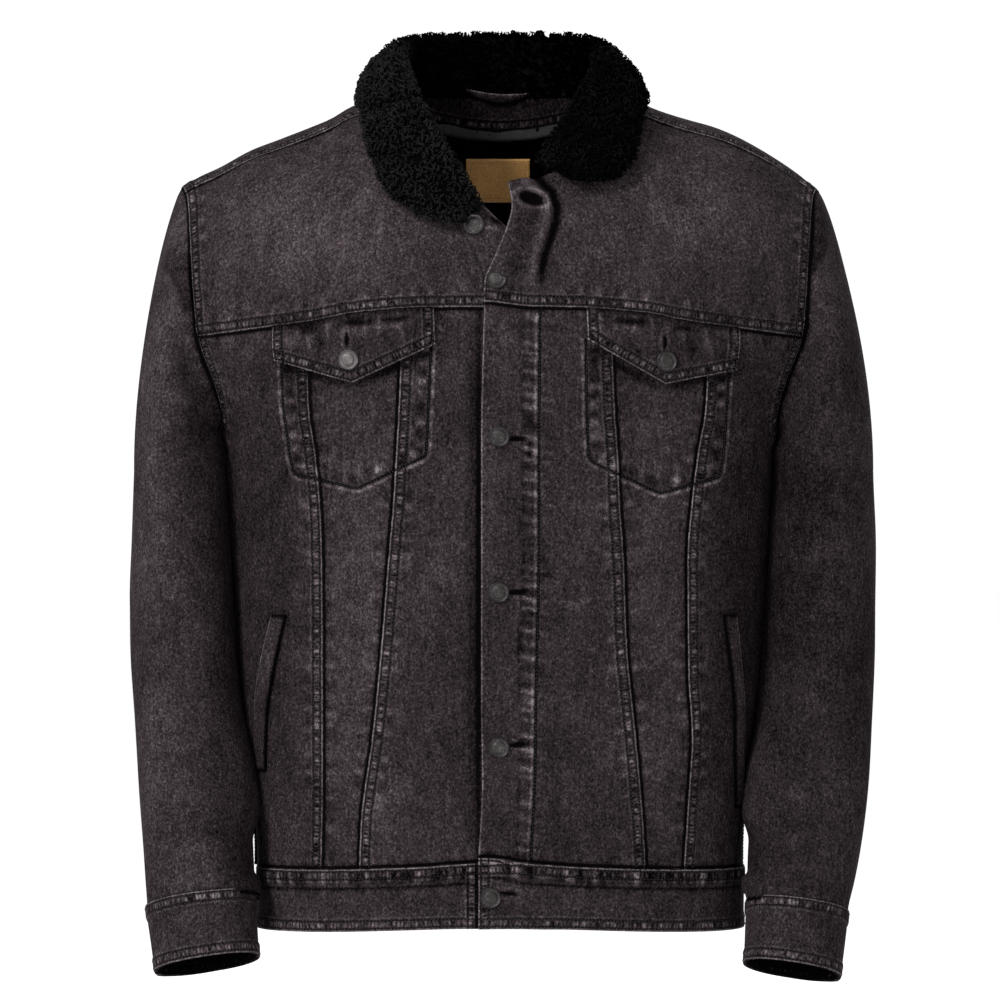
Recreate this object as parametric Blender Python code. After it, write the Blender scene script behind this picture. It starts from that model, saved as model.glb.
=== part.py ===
"""A sherpa lined denim trucker jacket, men's XL, filled out and hollow as when it is worn.

Frame: metres, +Z up, the front faces -Y, +X is the wearer's left. z = 0 is the height of the high shoulder point.
Every cloth piece is a patch of one smooth body surface, or of a sleeve surface, given a wall thickness.

A "place" on the body is (side, level). side runs from 0 at the centre to 1 at the side seam, negative on the
wearer's right. level is the height below the chest line, and above it the way up to the shoulder ridge, which is
level 0. Past the side seam or the ridge a place carries on over the other sheet, so a yoke can wrap the shoulder.
"""

import math

import bpy
import numpy as np
from mathutils.bvhtree import BVHTree

# ---------------------------------------------------------------------------------------------------- sizes
MM = 0.001
DENIM = 2.0 * MM            # one denim wall
BAND = 3.0 * MM             # waistband and cuffs, folded double
SHERPA = 5.0 * MM           # body lining with its pile
SEAM_GAP = 0.3 * MM         # between pieces that are sewn edge to edge
LINING_GAP = 1.5 * MM       # the lining stops this far short of a seam
LAP = 0.5 * MM              # between a piece and the cloth it lies on
LINING_DEPTH = 4.2 * MM     # from the denim's outer face in to the lining

CHEST_LINE = -200 * MM      # above it the body rounds over to the shoulder ridge
RING_POWER = 2.4            # how square a level ring of the body is
FRONT_RISE = 2.0            # how square the chest rounds over to the ridge
BACK_RISE = 2.6

UNDERARM = -285 * MM
SHOULDER_SEAM = -45 * MM    # level of the shoulder seam, on the front of the ridge
BACK_YOKE_SEAM = -185 * MM
HEM = -705 * MM
HEM_RISE = 6 * MM            # the hem sits this much higher at the centre front

# Level rings of the body: level, half width, depth in front of and behind the side seam (mm).
BODY_RINGS = [
    (-710, 210.5, 117, 110),
    (-650, 210.5, 120, 110),
    (-600, 212, 121, 109),
    (-560, 213.5, 122, 108),
    (-520, 219, 122, 107),
    (-460, 224, 122, 107),
    (-390, 230, 124, 111),
    (-318, 236, 127, 117),
    (-285, 240.5, 128, 120),
    (-260, 249, 128, 122),
    (-230, 264, 128, 124),
    (-200, 281, 128, 125),
    (-165, 290, 127, 125),
    (-120, 295, 127, 125),
    (-60, 298, 126, 124),
    (0, 300, 126, 124),
]

# Height of the shoulder ridge across the body: x, z (mm).
SHOULDER_RIDGE = [
    (-310, -86), (-277, -64), (-261, -54), (-244, -46), (-217, -31), (-191, -21), (-165, -11), (-146, -3), (-131, 6),
    (-118, 11), (-95, 16), (-60, 21), (0, 22), (60, 21), (95, 17), (118, 12), (142, 3), (165, -5), (187, -12),
    (213, -23), (239, -37), (261, -52), (277, -66), (310, -88),
]

# Armhole: turn in degrees from the ridge (0) to the underarm (180), side, level (mm). Front and back are alike.
ARMHOLE = [
    (0, 0.726, 0), (30, 0.700, -55), (60, 0.692, -110), (90, 0.700, -165), (120, 0.735, -215),
    (150, 0.820, -262), (170, 0.940, -283), (180, 1.0, -285),
]
FRONT_YOKE_TURN = 107       # where the yoke seams meet the armhole
SHOULDER_TURN = 24.5
BACK_YOKE_TURN = -101

# Seams of the front: x out from the centre, z (mm).
YOKE_SEAM = [(0, -171.5), (50, -171.5), (75, -172), (112, -175), (130, -177), (155, -182), (200, -188), (262, -195)]
WAIST_SEAM = [(0, -642), (30, -643.5), (60, -646), (100, -648), (150, -650), (215, -652)]
LAP_RISE = 4.5 * MM         # the left front's seams sit this much higher at its front edge
BACK_WAIST = -652 * MM

# Front edges and V seams, by height: z, wearer's right, wearer's left (mm out from the centre).
RIGHT_EDGE = [(-640, -24), (-174, -24), (-130, -16), (-103, -6), (-93.6, 4), (-84.3, 13.6)]
LEFT_EDGE = [
    (-645, -18.7), (-575, -15.3), (-500, -16), (-280, -16), (-174, -13.6), (-147.6, -12.8), (-137.4, -8.5),
    (-124.2, -2.6), (-103.8, 5.8), (-86.4, 9.9), (-67.2, 6.8),
]
INNER_V = [
    (-652, 120, 124), (-600, 117.5, 121), (-540, 109, 116), (-460, 101, 108), (-386, 95, 105), (-340, 91, 102),
    (-290, 88, 100), (-255, 86, 97.5), (-172, 83, 95),
]
OUTER_V = [
    (-652, 152, 157), (-580, 151, 161), (-540, 151, 163), (-480, 151, 160), (-386, 151.5, 160), (-340, 153, 163),
    (-295, 157, 168), (-260, 162, 174), (-180, 163, 176),
]

# Neckline of each front, from its front edge to the neck end of the shoulder seam: x, z (mm).
RIGHT_NECK = [(13.6, -84.3), (30, -82), (45, -73), (60, -58), (80, -31), (92, 2)]
LEFT_NECK = [(6.8, -66), (19, -63), (31, -63), (42, -57), (58, -47), (80, -28), (92, 2)]
# Neckline of the back, from the centre to the neck end of the shoulder seam: x (mm), level (mm) on the back sheet.
BACK_NECK = [(0, -70.5), (30, -68), (60, -58.5), (80, -38), (91, -8), (94, 10), (92, 45)]

# Chest flaps: inner top corner, outer top corner, outer lower corner, tip, inner lower corner; x, z (mm).
FLAP_R = [(55.5, -175), (193, -187.5), (191.5, -216), (125, -235.6), (54.5, -203)]
FLAP_L = [(73, -174), (203.5, -190.5), (200.5, -223.8), (139.6, -236.5), (74, -199)]

# Hand pocket welts: z, inner edge and outer edge (mm out from the centre).
WELT_R = [(-568, 200, 208.5), (-540, 199.5, 210), (-514, 198, 210), (-473, 191, 204.5), (-433, 182, 195)]
WELT_L = [(-600, 201.5, 208.5), (-554, 200.5, 209.5), (-505, 199.5, 209), (-470, 195.5, 206), (-433, 190, 202)]

# Sleeves below the cap, by height of the ring's centre: z, outer and inner x of the right and of the left sleeve,
# y of the centre, depth front to back (mm), lean forward and roll outward of the ring (degrees).
SLEEVE_RINGS = [
    (-310, 317, 243.5, 324, 243.5, 0, 172, 0, 0),
    (-370, 320, 238.0, 326, 238.0, 2, 166, 0, 0),
    (-422, 322.5, 234.5, 325, 235.0, 2, 158, 1, 0),
    (-474, 322, 231.5, 324, 232.5, -4, 147, 5, 0),
    (-526, 318, 226.5, 321, 228.5, -14, 135, 9, 1),
    (-579, 313, 217.0, 317, 219.5, -28, 121, 12, 3),
    (-631, 307, 214.0, 309, 214.5, -44, 106, 13, 5),
    (-679, 303.3, 210.8, 298.5, 212.8, -58, 93, 14, 7.5),
]
CAP_DIRECTION = (0.42, 0.18, 0.88)   # how cloth leaves the armhole: outward, fore or aft, downward
CUFF_RINGS = [                       # as above; the wearer's left cuff hangs LEFT_CUFF_DROP lower
    (-679.4, 303.0, 211.0, 298.2, 213.0, -58.4, 92, 14, 7.5),
    (-733, 294.8, 207.4, 290.8, 209.7, -73, 81, 14, 9),
]
LEFT_CUFF_DROP = 5 * MM
LAP_TURN = -28                       # where on the ring the cuff's end lies
CUFF_LAP = 24 * MM                   # how far a cuff's end laps over its start

# Collar's right half and left half, each from its front end to the centre back (mm): crest of the fold x, y, z; middle
# of the leaf x, y, z; edge of the leaf x, y, z. x is out from the centre.
COLLAR_R = [
    ((18, -121, -86), (40, -127, -100), (90, -110, -79)),
    ((29, -115, -67), (64, -123, -82), (98, -107, -69)),
    ((42, -104, -47), (77, -114, -59), (105, -100, -53)),
    ((57, -86, -21), (91, -99, -36), (111, -88, -37)),
    ((70, -64, 5), (102, -76, -12), (116, -68, -18)),
    ((80, -38, 29), (110, -46, 14), (120, -42, 0)),
    ((87, -10, 46), (113, -14, 32), (122, -14, 13)),
    ((88, 16, 58), (110, 20, 41), (121, 20, 15)),
    ((80, 44, 66), (98, 60, 44), (112, 64, 12)),
    ((60, 70, 71), (73, 92, 46), (80, 101, 6)),
    ((32, 86, 73), (37, 110, 48), (40, 120, 2)),
    ((0, 91, 74), (0, 116, 48), (0, 127, 0)),
]
COLLAR_L = [
    ((33, -104, -45), (64, -117, -63), (98, -102, -60)),
    ((46, -93, -28), (84, -108, -44), (111, -96, -48)),
    ((58, -77, -11), (94, -92, -25), (117, -82, -33)),
    ((68, -58, 8), (104, -70, -6), (121, -62, -16)),
    ((79, -34, 28), (112, -40, 16), (124, -36, 2)),
    ((87, -10, 46), (114, -12, 32), (126, -12, 14)),
    ((88, 16, 58), (111, 20, 41), (124, 20, 16)),
    ((80, 44, 66), (98, 60, 44), (113, 64, 13)),
    ((60, 70, 71), (73, 92, 46), (80, 101, 6)),
    ((32, 86, 73), (37, 110, 48), (40, 120, 2)),
    ((0, 91, 74), (0, 116, 48), (0, 127, 0)),
]
COLLAR_STATIONS = 37
COLLAR_HALF = [2, 4.5, 6.2, 6.2, 6.2, 6.2, 6.5, 6.5, 6.2, 3]    # half thickness from foot to leaf edge (mm)
FOLD_RADIUS = 7.2 * MM
STAND_TOP = 19 * MM                  # height of its top edge at the back; it runs out where the collar meets the fronts
COLLAR_START = (17 * MM, 34 * MM)    # where it begins on the right and left neckline, out from the centre

# Folds of the sleeve, seen from the front: a line of x, z (mm), then how wide and how high. The cloth above or
# outside the line lies over the cloth below it.
FOLDS_R = [([(296, -134), (286, -142), (276, -163), (264, -187), (256, -208)], 13, 4.5)]
FOLDS_L = [([(288, -92), (283, -120), (266, -148), (259, -175)], 13, 4.5)]

BUTTON_RADIUS = 8.7 * MM
BUTTON_HEIGHT = 3.2 * MM
OVERLAP_LIFT = 2.6 * MM              # the left front lies this much proud where it laps over the right one
BAND_LIFT = 3.5 * MM                 # and the waistband's left end this much
OVERLAP_ENDS = (34 * MM, 56 * MM)    # and comes down to the body between these distances from the centre

DENIM_COLOUR = (0.055, 0.047, 0.050)
SHERPA_COLOUR = (0.006, 0.006, 0.007)
TAPE_COLOUR = (0.045, 0.042, 0.045)
LABEL_COLOUR = (0.30, 0.16, 0.055)
BUTTON_COLOUR = (0.16, 0.16, 0.165)


# ---------------------------------------------------------------------------------------------------- curves
def curve(rows, column=1, unit=MM):
    """A smooth function through a table: its first column in, another one out."""
    rows = sorted(rows)
    keys = np.array([row[0] for row in rows]) * unit
    values = np.array([row[column] for row in rows], dtype=float)
    steps = np.diff(values) / np.diff(keys)
    slopes = np.concatenate([steps[:1], (steps[:-1] + steps[1:]) / 2, steps[-1:]])
    turning = np.concatenate([[False], steps[:-1] * steps[1:] <= 0, [False]])
    slopes[turning] = 0.0

    def read(key):
        key = np.clip(key, keys[0], keys[-1])
        i = np.clip(np.searchsorted(keys, key) - 1, 0, len(keys) - 2)
        span = keys[i + 1] - keys[i]
        t = (key - keys[i]) / span
        return ((1 + 2 * t) * (1 - t) ** 2 * values[i] + t * (1 - t) ** 2 * span * slopes[i]
                + t * t * (3 - 2 * t) * values[i + 1] + t * t * (t - 1) * span * slopes[i + 1])

    return read


def metres(rows, column=1, unit=MM):
    """A table whose answers are in millimetres, read in metres."""
    read = curve(rows, column, unit)
    return lambda key: read(key) * MM


half_width = metres(BODY_RINGS, 1)
front_depth = metres(BODY_RINGS, 2)
back_depth = metres(BODY_RINGS, 3)
ridge_height = metres(SHOULDER_RIDGE)
arm_side = curve(ARMHOLE, 1, 1)
arm_level = metres(ARMHOLE, 2, 1)
yoke_table = metres(YOKE_SEAM)
waist_table = metres(WAIST_SEAM)


def smooth(low, high, value):
    """0 below low, 1 above high, and a soft step between."""
    t = np.clip((value - low) / (high - low), 0, 1)
    return t * t * (3 - 2 * t)


def power(value, exponent):
    return np.sign(value) * np.abs(value) ** exponent


def unit(vectors):
    return vectors / np.maximum(np.linalg.norm(vectors, axis=-1, keepdims=True), 1e-12)


# ---------------------------------------------------------------------------------------------------- the body
def body_point(front, side, level):
    """The outer face of the body at a place; front says which sheet the place is counted from."""
    side, level = np.broadcast_arrays(np.asarray(side, float), np.asarray(level, float))
    side = (side + 2) % 4 - 2
    beyond = np.abs(side) > 1
    on_front = (np.full(side.shape, front) ^ beyond) ^ (level > 0)
    side = np.where(beyond, np.sign(side) * 2 - side, side)
    level = np.where(level > 0, -level, level)
    turn = side * math.pi / 2
    rise = np.clip((level - CHEST_LINE) / -CHEST_LINE, 0, 1) * math.pi / 2
    shape = np.where(on_front, 2 / FRONT_RISE, 2 / BACK_RISE)
    x = half_width(level) * power(np.sin(turn), 2 / RING_POWER)
    depth = np.where(on_front, -front_depth(level), back_depth(level))
    y = depth * np.clip(np.cos(turn), 0, 1) ** (2 / RING_POWER) * np.clip(np.cos(rise), 0, 1) ** shape
    over = CHEST_LINE + (ridge_height(x) - CHEST_LINE) * np.sin(rise) ** shape
    return np.stack([x, y, np.where(level > CHEST_LINE, over, level)], axis=-1)


def body_normal(front, side, level):
    step = 2e-4
    across = body_point(front, side + step, level) - body_point(front, side - step, level)
    along = body_point(front, side, level + step) - body_point(front, side, level - step)
    normal = unit(np.cross(across, along))
    point = body_point(front, side, level)
    core = point * [0, 0, 1]
    core[..., 2] = np.minimum(point[..., 2] - 0.02, -0.25)
    return normal * np.sign(np.sum(normal * (point - core), axis=-1, keepdims=True))


def front_place(hand, x, z):
    """The place on the front sheet that is x out from the centre on one hand's side, at height z."""
    x = hand * np.asarray(x, float)
    z = np.broadcast_to(np.asarray(z, float), x.shape)
    climb = np.clip((z - CHEST_LINE) / (ridge_height(x) - CHEST_LINE), 0, 1) ** (FRONT_RISE / 2)
    level = np.where(z > CHEST_LINE, CHEST_LINE * (1 - np.arcsin(climb) * 2 / math.pi), z)
    reach = np.clip(np.abs(x) / half_width(level), 0, 1) ** (RING_POWER / 2)
    return np.stack([np.sign(x) * np.arcsin(reach) * 2 / math.pi, level], axis=-1)


def armhole_place(front, hand, turn):
    """The armhole's place counted from one sheet; turn is positive on the front and negative on the back."""
    turn = np.asarray(turn, float)
    level = arm_level(np.abs(turn)) * np.where(turn >= 0, 1, -1) * (1 if front else -1)
    return np.stack([hand * arm_side(np.abs(turn)), level], axis=-1)


def arm_turns():
    """The armhole's samples in four runs, shared by every piece that meets it, front underarm to back underarm."""
    return [np.linspace(180, FRONT_YOKE_TURN, 6), np.linspace(FRONT_YOKE_TURN, SHOULDER_TURN, 7),
            np.linspace(SHOULDER_TURN, BACK_YOKE_TURN, 10), np.linspace(BACK_YOKE_TURN, -180, 6)]


def overlap_lift(hand, places):
    """How proud a front lies: the wearer's left one laps over the right one at the centre."""
    if hand < 0:
        return np.zeros(places.shape[:-1])
    x = body_point(True, places[..., 0], places[..., 1])[..., 0]
    return OVERLAP_LIFT * (1 - smooth(*OVERLAP_ENDS, x))


# ---------------------------------------------------------------------------------------------------- walls
def material(name, colour, roughness, metallic=0.0):
    made = bpy.data.materials.get(name)
    if made is None:
        made = bpy.data.materials.new(name)
        made.use_nodes = True
        shader = made.node_tree.nodes["Principled BSDF"]
        shader.inputs["Base Color"].default_value = (*colour, 1)
        shader.inputs["Roughness"].default_value = roughness
        shader.inputs["Metallic"].default_value = metallic
        made.diffuse_color = (*colour, 1)
    return made


def add_solid(name, points, faces, look):
    """One closed solid as an object, its faces turned outward."""
    mesh = bpy.data.meshes.new(name)
    mesh.from_pydata([tuple(p) for p in points], [], faces)
    mesh.update()
    volume = 0.0
    for face in faces:
        a = points[face[0]]
        for b, c in zip(face[1:-1], face[2:]):
            volume += np.dot(a, np.cross(points[b], points[c]))
    if volume < 0:
        mesh.flip_normals()
    mesh.materials.append(look)
    mesh.shade_smooth()
    mesh.set_sharp_from_angle(angle=math.radians(40))
    made = bpy.data.objects.new(name, mesh)
    bpy.context.scene.collection.objects.link(made)
    return made


def add_wall(name, outer, inner, look, wrap=False):
    """A wall between two grids of points; wrap joins the last column to the first, as round a tube."""
    rows, columns = outer.shape[:2]
    points = np.concatenate([outer.reshape(-1, 3), inner.reshape(-1, 3)])
    inside = rows * columns
    faces = []
    last = columns if wrap else columns - 1
    for i in range(rows - 1):
        for j in range(last):
            k = (j + 1) % columns
            a, b, c, d = i * columns + j, i * columns + k, (i + 1) * columns + k, (i + 1) * columns + j
            faces += [(a, b, c, d), (a + inside, d + inside, c + inside, b + inside)]
    for i in (0, rows - 1):
        for j in range(last):
            a, b = i * columns + j, i * columns + (j + 1) % columns
            faces.append((b, a, a + inside, b + inside) if i == 0 else (a, b, b + inside, a + inside))
    if not wrap:
        for j in (0, columns - 1):
            for i in range(rows - 1):
                a, b = i * columns + j, (i + 1) * columns + j
                faces.append((a, b, b + inside, a + inside) if j == 0 else (b, a, a + inside, b + inside))
    return add_solid(name, points, faces, look)


def pull_in(grid, gap, sides="bltr"):
    """Draws a grid's edges (bottom, left, top, right) in by a gap, square to each edge."""
    moved = grid.copy()
    edges = {"b": (grid[0], grid[1], 0), "t": (grid[-1], grid[-2], -1)}
    edges_across = {"l": (grid[:, 0], grid[:, 1], 0), "r": (grid[:, -1], grid[:, -2], -1)}
    for key, (edge, inward, index) in edges.items():
        if key in sides:
            moved[index] += square_step(edge, inward) * gap
    for key, (edge, inward, index) in edges_across.items():
        if key in sides:
            moved[:, index] += square_step(edge, inward) * gap
    return moved


def square_step(edge, inward):
    along = unit(np.gradient(edge, axis=0))
    step = inward - edge
    return unit(step - along * np.sum(step * along, axis=-1, keepdims=True))


def body_piece(name, front, places, lift=0.0, thick=DENIM, look=None, gap=SEAM_GAP / 2, sides="bltr"):
    """A piece of the body: the wall over a grid of places, its outer face lifted off the body surface."""
    normal = body_normal(front, places[..., 0], places[..., 1])
    lift = np.broadcast_to(lift, normal.shape[:-1])[..., None]
    outer = body_point(front, places[..., 0], places[..., 1]) + normal * lift
    outer = pull_in(outer, gap, sides)
    return add_wall(name, outer, outer - normal * thick, look or denim())


def fill(bottom, top, left, right):
    """The places inside four edges, rows from bottom to top; left and right run upward."""
    s = np.linspace(0, 1, len(bottom))[None, :, None]
    t = np.linspace(0, 1, len(left))[:, None, None]
    ruled = (1 - t) * bottom[None] + t * top[None] + (1 - s) * left[:, None] + s * right[:, None]
    corners = ((1 - s) * (1 - t) * bottom[0] + s * (1 - t) * bottom[-1] + (1 - s) * t * top[0] + s * t * top[-1])
    return ruled - corners


def along(points, count):
    """A line through points, with a number of evenly spaced samples."""
    points = np.asarray(points, float)
    run = np.concatenate([[0], np.cumsum(np.linalg.norm(np.diff(points, axis=0), axis=1))])
    samples = np.linspace(0, run[-1], count)
    return np.stack([np.interp(samples, run, points[:, k]) for k in range(points.shape[1])], axis=-1)


# ---------------------------------------------------------------------------------------------------- looks
def denim():
    return material("denim", DENIM_COLOUR, 0.9)


def sherpa():
    return material("sherpa", SHERPA_COLOUR, 1.0)


# ---------------------------------------------------------------------------------------------------- fronts
def suffix(hand):
    return "_r" if hand < 0 else "_l"


def seam_lines(hand):
    """The front's lines by height, from the centre outward: front edge, inner V seam, outer V seam."""
    column = 1 if hand < 0 else 2
    return metres(RIGHT_EDGE if hand < 0 else LEFT_EDGE), metres(INNER_V, column), metres(OUTER_V, column)


def seam_height(table, hand, x):
    """The height of a cross seam of the front; the lapped left front carries it higher at the edge."""
    rise = LAP_RISE * (1 - smooth(-0.017, 0.030, x)) if hand > 0 else 0.0
    return table(np.abs(x)) + rise


def cross_seam(table, hand, counts):
    """Places along a cross seam in three runs: centre, middle and side front."""
    ends = []
    for line in seam_lines(hand):
        z = -0.2 if table is yoke_table else -0.65
        for _ in range(12):
            z = seam_height(table, hand, line(z))
        ends.append(line(z))
    if table is yoke_table:
        last = armhole_place(True, hand, FRONT_YOKE_TURN)
    else:
        last = np.array([float(hand), BACK_WAIST])
    runs = []
    for start, end, count in zip(ends[:2], ends[1:], counts):
        x = np.linspace(start, end, count)
        runs.append(front_place(hand, x, seam_height(table, hand, x)))
    sides = np.linspace(runs[-1][-1][0], last[0], counts[2])
    x = np.abs(body_point(True, sides, last[1])[:, 0])
    run = np.stack([sides, seam_height(table, hand, x)], axis=-1)
    run[:, 1] = front_place(hand, x, run[:, 1])[:, 1]
    run[0], run[-1] = runs[-1][-1], last
    return runs + [run]


FRONT_COLUMNS = (6, 3, 5)


def fronts(hand):
    """The three panels between the waist seam and the yoke seam, and the yoke above them."""
    bottoms = cross_seam(waist_table, hand, FRONT_COLUMNS)
    tops = cross_seam(yoke_table, hand, FRONT_COLUMNS)
    edge, inner, outer = seam_lines(hand)
    for name, line, far, k in (("front_centre", edge, inner, 0), ("front_mid", inner, outer, 1)):
        left = seam_line(hand, line, bottoms[k][0], tops[k][0])
        right = seam_line(hand, far, bottoms[k][-1], tops[k][-1])
        places = fill(bottoms[k], tops[k], left, right)
        body_piece(name + suffix(hand), True, places, overlap_lift(hand, places))
    climb = armhole_place(True, hand, arm_turns()[0])
    seam = np.stack([np.full(12, float(hand)), np.linspace(BACK_WAIST, UNDERARM, 12)], axis=-1)
    left = seam_line(hand, outer, bottoms[2][0], tops[2][0])
    body_piece("front_side" + suffix(hand), True,
               fill(bottoms[2], tops[2], left, np.concatenate([seam, climb[1:]])))
    front_yoke(hand, np.concatenate([tops[0], tops[1][1:], tops[2][1:]]))


def seam_line(hand, line, low, high):
    """A V seam or front edge as places, from its end on the waist seam to its end on the yoke seam."""
    rows = np.concatenate([[low[1]], np.linspace(BACK_WAIST, UNDERARM, 12)[1:],
                           np.linspace(UNDERARM, high[1], len(arm_turns()[0]))[1:]])
    top = body_point(True, *high)[2]
    climb = (top - CHEST_LINE) / max(high[1] - CHEST_LINE, 1e-6)
    z = np.where(rows > CHEST_LINE, CHEST_LINE + (rows - CHEST_LINE) * climb, rows)
    places = front_place(hand, line(z), z)
    places[0], places[-1] = low, high
    return places


def front_yoke(hand, bottom):
    edge, _, _ = seam_lines(hand)
    neck = neck_front(hand)
    arm = armhole_place(True, hand, arm_turns()[1])
    rows = np.linspace(body_point(True, *bottom[0])[2], neck[0][1], len(arm))
    left = front_place(hand, edge(rows), rows)
    left[0] = bottom[0]
    places_neck = front_place(hand, neck[:, 0], neck[:, 1])
    places_neck[-1, 1] = SHOULDER_SEAM
    top = np.concatenate([places_neck, np.linspace(places_neck[-1], arm[-1], len(bottom) - len(neck) + 1)[1:]])
    left[-1] = top[0]
    places = fill(bottom, top, left, arm)
    body_piece("front_yoke" + suffix(hand), True, places, overlap_lift(hand, places))


def neck_front(hand, count=7):
    return along(np.array(RIGHT_NECK if hand < 0 else LEFT_NECK) * MM, count)


# ---------------------------------------------------------------------------------------------------- back
def back_yoke_places():
    right_arm, left_arm = (armhole_place(False, hand, arm_turns()[2])[::-1] for hand in (-1, 1))
    neck = back_neck_places(11)
    top = np.concatenate([np.linspace(right_arm[-1], neck[0], 6)[:-1], neck,
                          np.linspace(neck[-1], left_arm[-1], 6)[1:]])
    return fill(back_seam(len(top)), top, right_arm, left_arm)


def back_yoke():
    """The back yoke: from its seam across the back up to the neck, and over both shoulders to the front."""
    body_piece("back_yoke", False, back_yoke_places())


def back_seam(count):
    """The seam between back yoke and back panel."""
    ends = [armhole_place(False, hand, BACK_YOKE_TURN) for hand in (-1, 1)]
    seam = np.stack([np.linspace(ends[0][0], ends[1][0], count), np.full(count, BACK_YOKE_SEAM)], axis=-1)
    seam[0], seam[-1] = ends
    return seam


def back_neck_places(count):
    """The back neckline as places, from the wearer's right shoulder seam to the left one."""
    half = along(np.array(BACK_NECK) * MM, (count + 1) // 2)
    reach = np.clip(half[:, 0] / half_width(-np.abs(half[:, 1])), 0, 1) ** (RING_POWER / 2)
    left = np.stack([np.arcsin(reach) * 2 / math.pi, half[:, 1]], axis=-1)
    return np.concatenate([(left * [-1, 1])[:0:-1], left])


BACK_COLUMNS = 21


def back_edges(runs, rows=12):
    """The back's side seams carried on up the armholes, on the wearer's right and left."""
    edges = []
    for hand in (-1, 1):
        seam = np.stack([np.full(rows, float(hand)), np.linspace(BACK_WAIST, UNDERARM, rows)], axis=-1)
        edges.append(np.concatenate([seam, armhole_place(False, hand, runs)[1:]]))
    return edges


def waist_back():
    return np.stack([np.linspace(-1, 1, BACK_COLUMNS), np.full(BACK_COLUMNS, BACK_WAIST)], axis=-1)


def back_panel_places():
    left, right = back_edges(arm_turns()[3][::-1])
    return fill(waist_back(), back_seam(BACK_COLUMNS), left, right)


def back_panel():
    body_piece("back_panel", False, back_panel_places())


# ---------------------------------------------------------------------------------------------------- lining
def lining_piece(name, front, places):
    body_piece(name, front, places, -LINING_DEPTH, SHERPA, sherpa(), gap=LINING_GAP)


def lining():
    """The sherpa lining behind the panels, three pieces that meet at the side and shoulder seams."""
    runs = arm_turns()
    for hand in (-1, 1):
        seam = np.stack([np.full(12, float(hand)), np.linspace(BACK_WAIST, UNDERARM, 12)], axis=-1)
        arm = armhole_place(True, hand, np.concatenate([runs[0], runs[1][1:]]))
        right = np.concatenate([seam, arm[1:]])
        neck = neck_front(hand, 9)
        neck = neck[neck[:, 0] > 44 * MM][:5]
        top = front_place(hand, neck[:, 0], neck[:, 1])
        top = np.concatenate([top, [[arm[-1][0], SHOULDER_SEAM]]]) if len(top) < 2 else top
        corner = back_neck_places(3)[2 if hand > 0 else 0] * [1, -1]
        top = np.concatenate([top[:4], np.linspace(corner, arm[-1], 6)])
        heights = np.concatenate([seam[:, 1], np.linspace(UNDERARM, neck[0][1], len(arm))[1:]])
        left = front_place(hand, np.full(len(heights), neck[0][0]), heights)
        left[-1] = top[0]
        bottom = np.stack([np.linspace(left[0][0], hand, len(top)), np.full(len(top), BACK_WAIST)], axis=-1)
        lining_piece("lining_front" + suffix(hand), True, fill(bottom, top, left, right))
    panel = back_panel_places()[:-1]
    sparse = np.r_[0:10:2, 10:len(panel)]
    lining_piece("lining_back", False, np.concatenate([panel[sparse], back_yoke_places()]))


# ---------------------------------------------------------------------------------------------------- waistband
def waistband():
    """One strip round the waist, along the panels' own seam; its left end laps over the right one in front."""
    lines = []
    for hand in (-1, 1):
        runs = cross_seam(waist_table, hand, FRONT_COLUMNS)
        lines.append(np.concatenate([runs[0], runs[1][1:], runs[2][1:]]))
    back = waist_back()
    back[:, 0] -= np.where(back[:, 0] >= 0, 0, 0)
    back_run = np.stack([-2 - (1 - np.abs(back[:, 0])) * 0, back[:, 1]], axis=-1)
    back_run[:, 0] = -2 - back[:, 0]
    left = lines[1][::-1] - [4, 0]
    top = np.concatenate([lines[0], back_run[np.argsort(-back_run[:, 0])][1:], left[1:]])
    top[:, 1] -= SEAM_GAP
    sides = top[:, 0]
    x = body_point(True, sides, np.full(len(sides), HEM))[:, 0]
    on_front = np.abs((sides + 2) % 4 - 2) <= 1
    bottom = HEM + np.where(on_front, HEM_RISE * (1 - smooth(0, 0.21, np.abs(x))), 0)
    rows = [np.stack([sides, bottom + (top[:, 1] - bottom) * t], axis=-1) for t in (0, 0.5, 1)]
    lapped = sides < -3
    lift = np.where(lapped, BAND_LIFT * (1 - smooth(*OVERLAP_ENDS, x)), 0) + 1.0 * MM
    body_piece("waistband", True, np.stack(rows), lift, BAND, denim(), gap=0.0)


# ---------------------------------------------------------------------------------------------------- laid pieces
def flap(hand):
    corners = np.array(FLAP_R if hand < 0 else FLAP_L) * MM
    inner_top, outer_top, outer_low, tip, inner_low = corners
    top_x = np.linspace(inner_top[0], outer_top[0], 11)
    top = front_place(hand, top_x, yoke_table(top_x) - 0.6 * MM)
    low = np.concatenate([np.linspace(inner_low, tip, 6)[:-1], np.linspace(tip, outer_low, 6)])
    bottom = front_place(hand, low[:, 0], low[:, 1])
    left = np.linspace(bottom[0], top[0], 4)
    right = np.linspace(bottom[-1], top[-1], 4)
    places = fill(bottom, top, left, right)
    body_piece("flap" + suffix(hand), True, places, LAP + DENIM, DENIM, denim(), gap=0.0)


def welt(hand):
    rows = WELT_R if hand < 0 else WELT_L
    inner, outer = metres(rows, 1), metres(rows, 2)
    z = np.linspace(rows[0][0], rows[-1][0], 13) * MM
    places = np.stack([front_place(hand, inner(z) + (outer(z) - inner(z)) * t, z) for t in (0, 0.5, 1)], axis=1)
    body_piece("welt" + suffix(hand), True, places, 0.7 * MM + DENIM, DENIM, denim(), gap=0.0)


# ---------------------------------------------------------------------------------------------------- sleeves
def ring_reader(rows):
    return [metres(rows, k) for k in range(1, 7)] + [curve(rows, k) for k in (7, 8)]


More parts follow.
